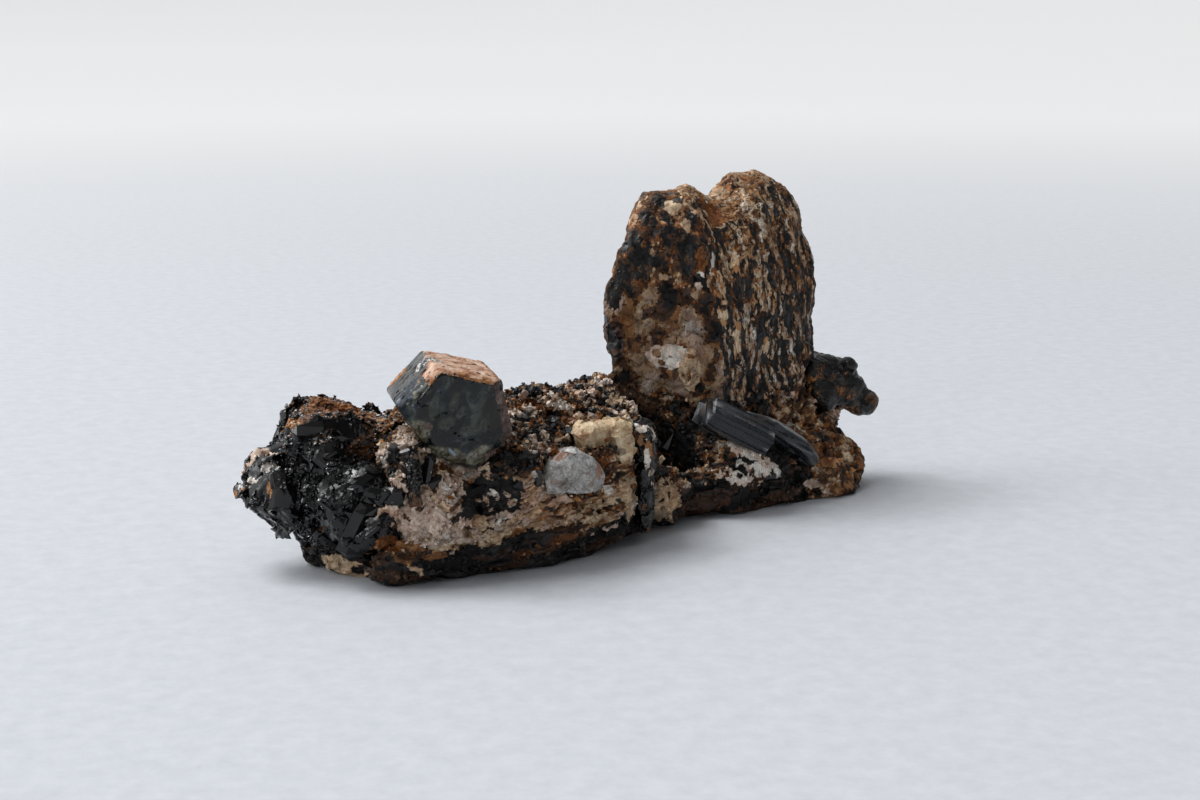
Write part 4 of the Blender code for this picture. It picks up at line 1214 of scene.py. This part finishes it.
AQUAMARINE_TINTS = [
    (434, 406, 6, 20, -12, "wisp"),
    (454, 402, 5, 13, -18, "wisp"),
    (446, 424, 12, 8, 30, "wisp"),
    (470, 430, 14, 7, 20, "wisp"),
    (462, 412, 5, 9, -30, "wisp"),
    (484, 424, 6, 10, 0, "wisp"),
    (426, 388, 8, 8, 0, "wisp"),
    (404, 396, 22, 26, 0, "haze"),
    (426, 374, 18, 10, 0, "haze"),
    (452, 372, 18, 5, -10, "haze"),
    (420, 430, 14, 16, 0, "olive"),
    (402, 420, 8, 7, 0, "olive"),
    (414, 396, 8, 5, 10, "olive"),
    (462, 438, 14, 6, 10, "haze"),
    (440, 392, 10, 4, 5, "haze"),
    (448, 455, 28, 10, -15, "olive"),
    (478, 455, 20, 10, 30, "olive"),
]


def tint_layer(spots, kind, patches, salt):
    """How strongly patches of one kind colour each point, with a ragged edge."""
    total = np.zeros(len(spots))
    for patch in patches:
        if patch[5] == kind:
            total = np.maximum(total, patch_field(spots, patch))
    return smooth(0.15, 0.6, total + 0.25 * cloud(spots, 1.2, salt, 3) * (total > 0.0))


# How often the aquamarine's skin is smoothed, which rounds its edges
EDGE_WEAR = 45


def nearest_planes(piece, shape):
    """Each point of the piece moved onto the nearest flat face of a shape."""
    tree = BVHTree.FromBMesh(shape)
    return np.array([tree.find_nearest(corner.co)[0] for corner in piece.data.vertices])


# How much a face has to look up to be the peach top or the rusty edge below it, and right to be the flank
TOP_RISE = 0.42
EDGE_RISE = 0.16
FLANK_TURN = 0.62
# How much those limits wander over the faces
LIMIT_WANDER = 0.10


def film_kinds(spots, outward, names):
    """Which material each point of the aquamarine wears: none, or the number of a film."""
    rise, side = outward @ np.array(UP), outward @ np.array(RIGHT)
    ahead = -(outward @ np.array(AHEAD))
    frost_and_glints = patch_field(spots, FROST)
    frosted = (frost_and_glints > 0.02) & (frost_and_glints + 0.5 * cloud(spots, 1.2, 73, 4) > 0.50)
    across = (spots - spots.mean(axis=0)) @ np.array(RIGHT) / MM
    nearness = (spots.mean(axis=0) - spots) @ np.array(AHEAD) / MM
    ragged = cloud(spots, 1.4, 75, 3)
    wander = LIMIT_WANDER * ragged
    top = (rise > TOP_RISE + wander) & (across > -2.2 + 1.2 * ragged)
    edge = (rise > EDGE_RISE + wander) & (rise <= TOP_RISE + wander) & (across > -1.5) & (ahead > 0.6)
    flank = (side > FLANK_TURN + 0.12 * ragged) & (ragged > -0.15) & (nearness > 0.4 + 2.0 * ragged)
    # The frosted left side, with painted glints in its film.
    kind = np.where(frosted & (ahead > 0.0), names.index("frost_and_glints"), 0)
    kind = np.where(top, names.index("peach"), kind)
    kind = np.where(edge & (ragged > -0.35), names.index("rusty"), kind)
    kind = np.where(flank & ~top, names.index("mauve"), kind)
    for patch in AQUAMARINE_COATS:
        inside = patch_field(spots, patch)
        strength = inside + 0.25 * cloud(spots, 0.8, 77, 3)
        kind = np.where((inside > 0.01) & (strength > 0.2) & (ahead > -0.05), names.index(patch[5]), kind)
    return kind


def make_aquamarine(clear, coats):
    piece = copy_of("aquamarine", "aquamarine_crystal")
    shape = bmesh.new()
    shape.from_mesh(piece.data)
    bmesh.ops.dissolve_limit(shape, angle_limit=math.radians(2), verts=shape.verts, edges=shape.edges)
    remesh(piece, 0.11)
    move_to(piece, nearest_planes(piece, shape))
    shape.free()
    apply_modifier(piece, "SMOOTH", factor=0.5, iterations=EDGE_WEAR)
    spots, outward = places(piece), facings(piece)
    height = 0.05 * cloud(spots, 2.5, 71, 3) + 0.012 * cloud(spots, 0.5, 72, 2) + 0.10
    worn = smooth(0.25, 0.8, cloud(spots, 0.9, 74, 3))
    height -= 0.10 * worn
    names = ["clear"] + list(coats)
    kind = film_kinds(spots, outward, names)
    height += np.where(kind > 0, 0.05 + 0.05 * cloud(spots, 0.5, 78, 2), 0.0)
    height -= np.where(kind == names.index("dark"), 0.22, 0.0)
    for title in ("haze", "olive", "wisp"):
        write_layer(piece.data, title, tint_layer(spots, title, AQUAMARINE_TINTS, 79))
    move_to(piece, spots + outward * height[:, None] * MM)
    piece.data.materials.append(clear)
    for coat in coats.values():
        piece.data.materials.append(coat)
    for face in piece.data.polygons:
        face.material_index = int(np.max(kind[list(face.vertices)]))
    crease(piece, 30)
    ride(piece, "aquamarine", "aquamarine")


def make_pale_crystal(node, title, slot, material, size, rough, patches, salt):
    """A blocky pale crystal: flat breaks, worn corners and stains."""
    piece = copy_of(node, title)
    remesh(piece, 0.12)
    spots, outward = places(piece), facings(piece)
    number, offset, border = grains(spots, size, salt)
    small, inner, _ = grains(spots, 0.4 * size, salt + 20)
    height = 0.12 + facets(number, offset, rough, rough, salt + 4)
    height += 0.75 * flat_tops(spots, outward, number, 0.10, 0.4, salt + 5)
    height += facets(small, inner, 0.2 * rough, 0.4 * rough, salt + 6)
    height += 0.02 * cloud(spots, 0.5, salt + 8, 2)
    for kind in ("brown", "rust"):
        write_layer(piece.data, kind, tint_layer(spots, kind, patches, salt + 9))
    broken = smooth(-0.1, 0.5, cloud(spots, 1.0, salt + 12, 2))
    write_layer(piece.data, "crack", np.exp(-(border / 0.06) ** 2) * broken)
    move_to(piece, spots + outward * height[:, None] * MM)
    thin_out(piece, 12000)
    piece.data.materials.append(material)
    ride(piece, slot, node)


QUARTZ_TINTS = [(0.36, (0.14, 0.120, 0.10)), (0.5, (0.36, 0.345, 0.33)), (0.62, (0.68, 0.675, 0.66))]
FELDSPAR_TINTS = [(0.34, (0.24, 0.13, 0.06)), (0.47, (0.50, 0.35, 0.20)), (0.62, (0.78, 0.65, 0.45))]

# Stains on the pale crystals: pixel, half width and height, turn, kind
FELDSPAR_STAINS = [
    (600, 450, 24, 9, 0, "brown"),
    (612, 441, 7, 8, 0, "brown"),
    (585, 436, 8, 6, 0, "rust"),
    (620, 452, 8, 5, 0, "brown"),
]
QUARTZ_STAINS = [
    (598, 470, 5, 14, 0, "rust"),
    (556, 482, 10, 4, 0, "brown"),
    (590, 484, 9, 5, 0, "brown"),
    (562, 458, 12, 3, 35, "rust"),
]


# Crumbs and shards joined into one mesh for each kind

def chip_shape():
    """Corners and faces of a ball of 20 triangles, one unit across."""
    shape = bmesh.new()
    bmesh.ops.create_icosphere(shape, subdivisions=1, radius=0.5)
    corners = np.array([corner.co for corner in shape.verts])
    faces = np.array([[corner.index for corner in face.verts] for face in shape.faces])
    shape.free()
    return corners, faces


CHIP_CORNERS, CHIP_FACES = chip_shape()


def prism_shape():
    """Corners and faces of a short six-sided prism with bevelled ends, one unit across and long."""
    corners = []
    for height, radius in ((-0.5, 0.34), (-0.38, 0.5), (0.38, 0.5), (0.5, 0.34)):
        for n in range(6):
            angle = math.tau * n / 6
            corners.append((radius * math.cos(angle), radius * math.sin(angle), height))
    faces = []
    for ring in range(3):
        for n in range(6):
            a, b = 6 * ring + n, 6 * ring + (n + 1) % 6
            faces += [(a, b, b + 6), (a, b + 6, a + 6)]
    faces += [(0, n + 1, n) for n in range(1, 5)]
    faces += [(18, 18 + n, 19 + n) for n in range(1, 5)]
    return np.array(corners), np.array(faces)


PRISM_CORNERS, PRISM_FACES = prism_shape()


def random_turns(luck, count):
    """Rotation matrices, evenly spread."""
    q = luck.normal(size=(count, 4))
    w, x, y, z = (q / np.linalg.norm(q, axis=1)[:, None]).T
    return np.stack([
        1 - 2 * (y * y + z * z), 2 * (x * y - z * w), 2 * (x * z + y * w),
        2 * (x * y + z * w), 1 - 2 * (x * x + z * z), 2 * (y * z - x * w),
        2 * (x * z - y * w), 2 * (y * z + x * w), 1 - 2 * (x * x + y * y)], axis=1).reshape(-1, 3, 3)


def turns_along(axes, luck):
    """Rotations whose Z is each axis, with a random spin."""
    axes = axes / np.linalg.norm(axes, axis=1)[:, None]
    side = np.cross(axes, luck.normal(size=axes.shape))
    side /= np.linalg.norm(side, axis=1)[:, None]
    return np.stack([side, np.cross(axes, side), axes], axis=2)


def chips_mesh(title, middles, sizes, turns, ragged, layers, luck, prisms):
    """Many small broken chips, or short prisms, in one mesh."""
    shape_corners, shape_faces = (PRISM_CORNERS, PRISM_FACES) if prisms else (CHIP_CORNERS, CHIP_FACES)
    count = len(middles)
    each = len(shape_corners)
    corners = shape_corners[None] + ragged * (luck.random((count, each, 3)) - 0.5)
    if prisms:
        lean = np.ones((count, 1, 3))
        lean[:, 0, 0] = 0.55 + 0.9 * luck.random(count)
        corners = corners * lean
    corners = corners * sizes[:, None, :] * MM
    corners = np.einsum("nij,nkj->nki", turns, corners) + middles[:, None, :]
    faces = shape_faces[None] + each * np.arange(count)[:, None, None]
    mesh = bpy.data.meshes.new(title)
    mesh.from_pydata(corners.reshape(-1, 3).tolist(), [], faces.reshape(-1, 3).tolist())
    for name, values in layers.items():
        write_layer(mesh, name, np.repeat(values, each))
    return mesh


def scatter(host, title, slot, material, count, want, size, spread, salt, along=None, sink=0.25,
            prisms=False):
    """Sprinkles chips on a piece where want says so; each takes the mineral it sits on."""
    luck = np.random.default_rng(salt)
    spots, outward = places(host), facings(host)
    weight = np.maximum(want(spots, outward, host.data), 0.0) * smooth(0.5, 1.0, spots[:, 2] / MM)
    picked = luck.choice(len(spots), size=count, p=weight / weight.sum())
    middles, normals = spots[picked], outward[picked]
    scale = np.exp(luck.normal(0.0, 0.35, count))
    sizes = np.array(size)[None] * scale[:, None] * (1.0 + spread * (luck.random((count, 3)) - 0.5))
    if along is None:
        turns = random_turns(luck, count)
    else:
        axes = np.array(along)[None] + 0.30 * luck.normal(size=(count, 3))
        crossed = luck.random(count) < 0.3
        axes[crossed] = np.cross(axes[crossed], normals[crossed]) + 0.1
        turns = turns_along(axes, luck)
    middles = middles + normals * (sizes.min(axis=1) * (0.5 - sink) * MM)[:, None]
    layers = {name: read_layer(host.data, name)[picked] for name in MINERALS[1:]}
    layers["shade"] = luck.random(count)
    layers["gloss"] = luck.random(count) * 0.6 + 0.4
    layers["crack"] = np.zeros(count)
    ragged = 0.12 if prisms else 0.5
    piece = new_piece(title, chips_mesh(title, middles, sizes, turns, ragged, layers, luck, prisms))
    piece.data.materials.append(material)
    ride(piece, slot)
    return piece


# Crystals placed by pixel: middle, length and width in pixels, turn in degrees, lean towards the viewer
BLACK_CRYSTALS = [
    (357, 530, 58, 24, 66, 0.1),
    (310, 430, 34, 16, 20, 0.0),
    (362, 441, 62, 6, 2, 0.0),
    (368, 452, 56, 6, -1, 0.0),
    (372, 464, 50, 6, 2, 0.0),
    (429, 470, 30, 11, 74, 0.1),
    (436, 482, 18, 12, 40, 0.3),
    (384, 497, 16, 10, 60, 0.2),
    (405, 452, 12, 8, 20, 0.3),
    (566, 431, 20, 12, 10, 0.3),
    (556, 438, 14, 9, -30, 0.3),
    (476, 492, 26, 14, 20, 0.1),
    (505, 470, 22, 12, -20, 0.2),
    (538, 478, 16, 10, 80, 0.2),
    (528, 393, 12, 9, 20, 0.2),
    (543, 390, 10, 8, -25, 0.3),
    (572, 382, 10, 8, 40, 0.2),
    (596, 369, 16, 16, 0, 0.3),
    (700, 412, 30, 14, 70, 0.2),
    (668, 440, 26, 12, 70, 0.1),
    (790, 452, 24, 10, -30, 0.2),
    (765, 478, 24, 8, 10, 0.1),
]


def place_crystals(title, slot, material, crystals, salt):
    """Black prisms that show at named pixels, half sunk in what carries them."""
    luck = np.random.default_rng(salt)
    middles, sizes, axes = [], [], []
    for u, v, length, width, turn, lean in crystals:
        found = seen_at(u, v)
        if found is None:
            continue
        spot, pixel, normal = found
        angle = math.radians(turn)
        axis = math.cos(angle) * np.array(RIGHT) + math.sin(angle) * np.array(UP) - lean * np.array(AHEAD)
        axis -= normal * 0.6 * (axis @ normal)
        width, length = width * pixel / MM, length * pixel / MM
        middles.append(spot - normal * 0.12 * width * MM)
        sizes.append((width, width, length))
        axes.append(axis)
    count = len(middles)
    turns = turns_along(np.array(axes), luck)
    layers = {name: np.zeros(count) for name in MINERALS[1:]}
    layers["shade"] = 0.3 + 0.4 * luck.random(count)
    layers["gloss"] = 0.6 + 0.4 * luck.random(count)
    layers["crack"] = np.zeros(count)
    mesh = chips_mesh(title, np.array(middles), np.array(sizes), turns, 0.14, layers, luck, True)
    piece = new_piece(title, mesh)
    piece.data.materials.append(material)
    ride(piece, slot)


def want_crumbs(spots, outward, mesh):
    weights = zone_weights(spots, outward)
    pale = read_layer(mesh, "pink") + read_layer(mesh, "white") + 0.5 * read_layer(mesh, "cream")
    wanted = 0.03 + weights["crumbs"] + 0.25 * weights["pale"] + 0.5 * weights["mixed"] + 0.15 * pale
    return wanted * (1.0 - on_slab(spots, 11.0, 12.5))


# The way the black tourmaline's shards lie
SHARDS_ALONG = (0.75, -0.35, 0.45)
# Places on the black mass that glitter: pixel, half width and height, turn
GLINTS = [
    (300, 446, 26, 10, 0),
    (306, 508, 14, 26, 0),
    (312, 540, 18, 12, 0),
    (296, 472, 8, 16, 0),
    (268, 468, 12, 8, 0),
    (338, 470, 14, 16, 0),
]


def want_glints(spots, outward, mesh):
    return 0.03 + sum(patch_field(spots, patch) for patch in GLINTS)


def want_black(spots, outward, mesh):
    black = np.clip(1.0 - sum(read_layer(mesh, title) for title in MINERALS[1:]), 0.0, 1.0)
    below_top = smooth(MASS_TOP - 1.5, MASS_TOP - 3.0, spots[:, 2] / MM)
    return black * below_top * smooth(0.8, 0.3, outward[:, 2]) * smooth(-0.6, -0.2, outward[:, 2])


# Floor, light and camera

def make_floor():
    """A pale floor that curves up far away, so that it has no edge in any view."""
    shape = bmesh.new()
    bmesh.ops.create_grid(shape, x_segments=120, y_segments=120, size=FLOOR_REACH)
    for corner in shape.verts:
        away = corner.co.length / FLOOR_REACH
        corner.co.z = FLOOR_RISE * max(0.0, away - FLOOR_FLAT) ** 2
    mesh = bpy.data.meshes.new("floor")
    shape.to_mesh(mesh)
    shape.free()
    for face in mesh.polygons:
        face.use_smooth = True
    floor = new_piece("floor", mesh)
    n = Nodes("pale_floor")
    felt = n.noise(2.2, 4.0, 0.7)
    near = n.ramp(felt, [(0.3, (0.49, 0.51, 0.545)), (0.7, (0.56, 0.58, 0.615))])
    away = n.add("ShaderNodeVectorMath", operation="LENGTH")
    n.link(n.where, away.inputs[0])
    n.set("Base Color", n.mix(n.span(away.outputs["Value"], 0.08, 0.9), near, (0.80, 0.80, 0.80)))
    n.set("Roughness", 0.9)
    floor.data.materials.append(n.material)


def add_light(title, place, target, size, power, tint):
    data = bpy.data.lights.new(title, "AREA")
    data.shape = "DISK"
    data.size = size
    data.energy = power
    data.color = tint
    light = bpy.data.objects.new(title, data)
    light.location = place
    light.rotation_euler = (Vector(target) - Vector(place)).to_track_quat("-Z", "Y").to_euler()
    bpy.context.scene.collection.objects.link(light)


# The side of the sky that is brightest, and its colour; the way the window's light falls, its spread in
# degrees and its power; and the lamps: name, place, aim, width in metres, power, colour
BRIGHT_SKY = (-0.30, 0.72, 0.62)
SKY_TINT = (0.97, 0.985, 1.0)
WINDOW_WAY = (0.36, -0.46, -0.95)
WINDOW_SPREAD = 36
WINDOW_POWER = 2.0
LAMPS = [
    ("window_left", (-0.62, 0.30, 0.46), (0.0, 0, 0.0), 0.40, 1.5, (0.97, 0.985, 1.0)),
    ("glint_back", (-0.16, 0.20, 0.34), (-0.01, 0, 0.02), 0.07, 0.22, (1.0, 1.0, 1.0)),
    ("glint_left", (-0.34, -0.22, 0.20), (-0.01, 0, 0.015), 0.06, 0.15, (0.92, 0.96, 1.0)),
]


def light_scene():
    world = bpy.data.worlds.new("studio")
    bpy.context.scene.world = world
    world.use_nodes = True
    tree = world.node_tree
    back = tree.nodes["Background"]
    sky = tree.nodes.new("ShaderNodeTexCoord")
    toward = tree.nodes.new("ShaderNodeVectorMath")
    toward.operation = "DOT_PRODUCT"
    toward.inputs[1].default_value = Vector(BRIGHT_SKY).normalized()
    ramp = tree.nodes.new("ShaderNodeValToRGB")
    spread = tree.nodes.new("ShaderNodeMapRange")
    spread.inputs["From Min"].default_value = -1.0
    band = ramp.color_ramp
    band.elements.new(0.5)
    for element, (share, level) in zip(band.elements, SKY_LEVELS):
        element.position = share
        element.color = (*(part * level for part in SKY_TINT), 1.0)
    tree.links.new(sky.outputs["Generated"], toward.inputs[0])
    tree.links.new(toward.outputs["Value"], spread.inputs["Value"])
    tree.links.new(spread.outputs["Result"], ramp.inputs["Fac"])
    tree.links.new(ramp.outputs["Color"], back.inputs["Color"])
    sun = bpy.data.lights.new("window", "SUN")
    sun.angle = math.radians(WINDOW_SPREAD)
    sun.energy = WINDOW_POWER
    window = bpy.data.objects.new("window", sun)
    window.rotation_euler = Vector(WINDOW_WAY).to_track_quat("-Z", "Y").to_euler()
    bpy.context.scene.collection.objects.link(window)
    for lamp in LAMPS:
        add_light(*lamp)
    bpy.context.scene.view_settings.view_transform = "Standard"
    bpy.context.scene.view_settings.look = "None"


def add_camera():
    data = bpy.data.cameras.new("camera")
    data.lens = LENS
    data.sensor_width = SENSOR
    data.clip_start = 0.001
    camera = bpy.data.objects.new("camera", data)
    camera.location = CAMERA_PLACE
    camera.rotation_euler = (CAMERA_PITCH, 0.0, CAMERA_HEADING)
    bpy.context.scene.collection.objects.link(camera)
    bpy.context.scene.camera = camera


def main():
    add_camera()
    make_floor()
    light_scene()
    rock_look = rock_material("rock_mixed", "dark", gloss=0.28, dull_gloss=0.80, sheen=0.35, relief=0.6)
    black_look = rock_material("tourmaline_glossy", "black", gloss=0.04, dull_gloss=0.20, sheen=0.42,
                               relief=0.13)
    knob_look = rock_material("tourmaline_knobs", "dark", gloss=0.20, dull_gloss=0.50, sheen=0.4, relief=0.4)
    glint_look = rock_material("tourmaline_glassy", "black", gloss=0.03, dull_gloss=0.10, sheen=0.9,
                               relief=0.05)
    schorl_look = schorl_material("tourmaline_slate")
    rock = make_rock(rock_look)
    mass = make_mass(black_look)
    make_end(black_look)
    make_knobs(knob_look)
    ribbed_prism("schorl_prism", "tourmaline_prism", schorl_look, grow=0.15, side_ribs=7, rings=8, salt=33)
    make_blade(schorl_look)
    make_plate(black_look)
    make_needle(black_look)
    coats = {title: coating_material(f"{title}_film", *film) for title, film in FILMS.items()}
    make_aquamarine(aquamarine_material(), coats)
    quartz_look = pale_material("quartz_milky", QUARTZ_TINTS, brown=(0.20, 0.12, 0.07), rough=0.2)
    feldspar_look = pale_material("feldspar_cream", FELDSPAR_TINTS, brown=(0.10, 0.055, 0.03), rough=0.45)
    make_pale_crystal("quartz_crystal", "quartz_shield", "quartz", quartz_look, size=1.8, rough=0.09,
                      patches=QUARTZ_STAINS, salt=81)
    make_pale_crystal("feldspar_crystal", "feldspar_block", "feldspar", feldspar_look, size=1.3, rough=0.14,
                      patches=FELDSPAR_STAINS, salt=91)
    scatter(rock, "rock_crumbs", "rock", rock_look, count=8000, want=want_crumbs, size=(0.34, 0.3, 0.26),
            spread=0.7, salt=5)
    scatter(mass, "tourmaline_shards", "black_tourmaline", black_look, count=64, want=want_black,
            size=(0.8, 0.7, 1.5), spread=0.6, salt=6, along=SHARDS_ALONG, sink=0.72, prisms=True)
    scatter(mass, "tourmaline_glints", "black_tourmaline", glint_look, count=900, want=want_glints,
            size=(0.20, 0.16, 0.26), spread=0.6, salt=8, along=SHARDS_ALONG, sink=0.2)
    place_crystals("black_crystals", "black_tourmaline", black_look, BLACK_CRYSTALS, salt=12)


main()
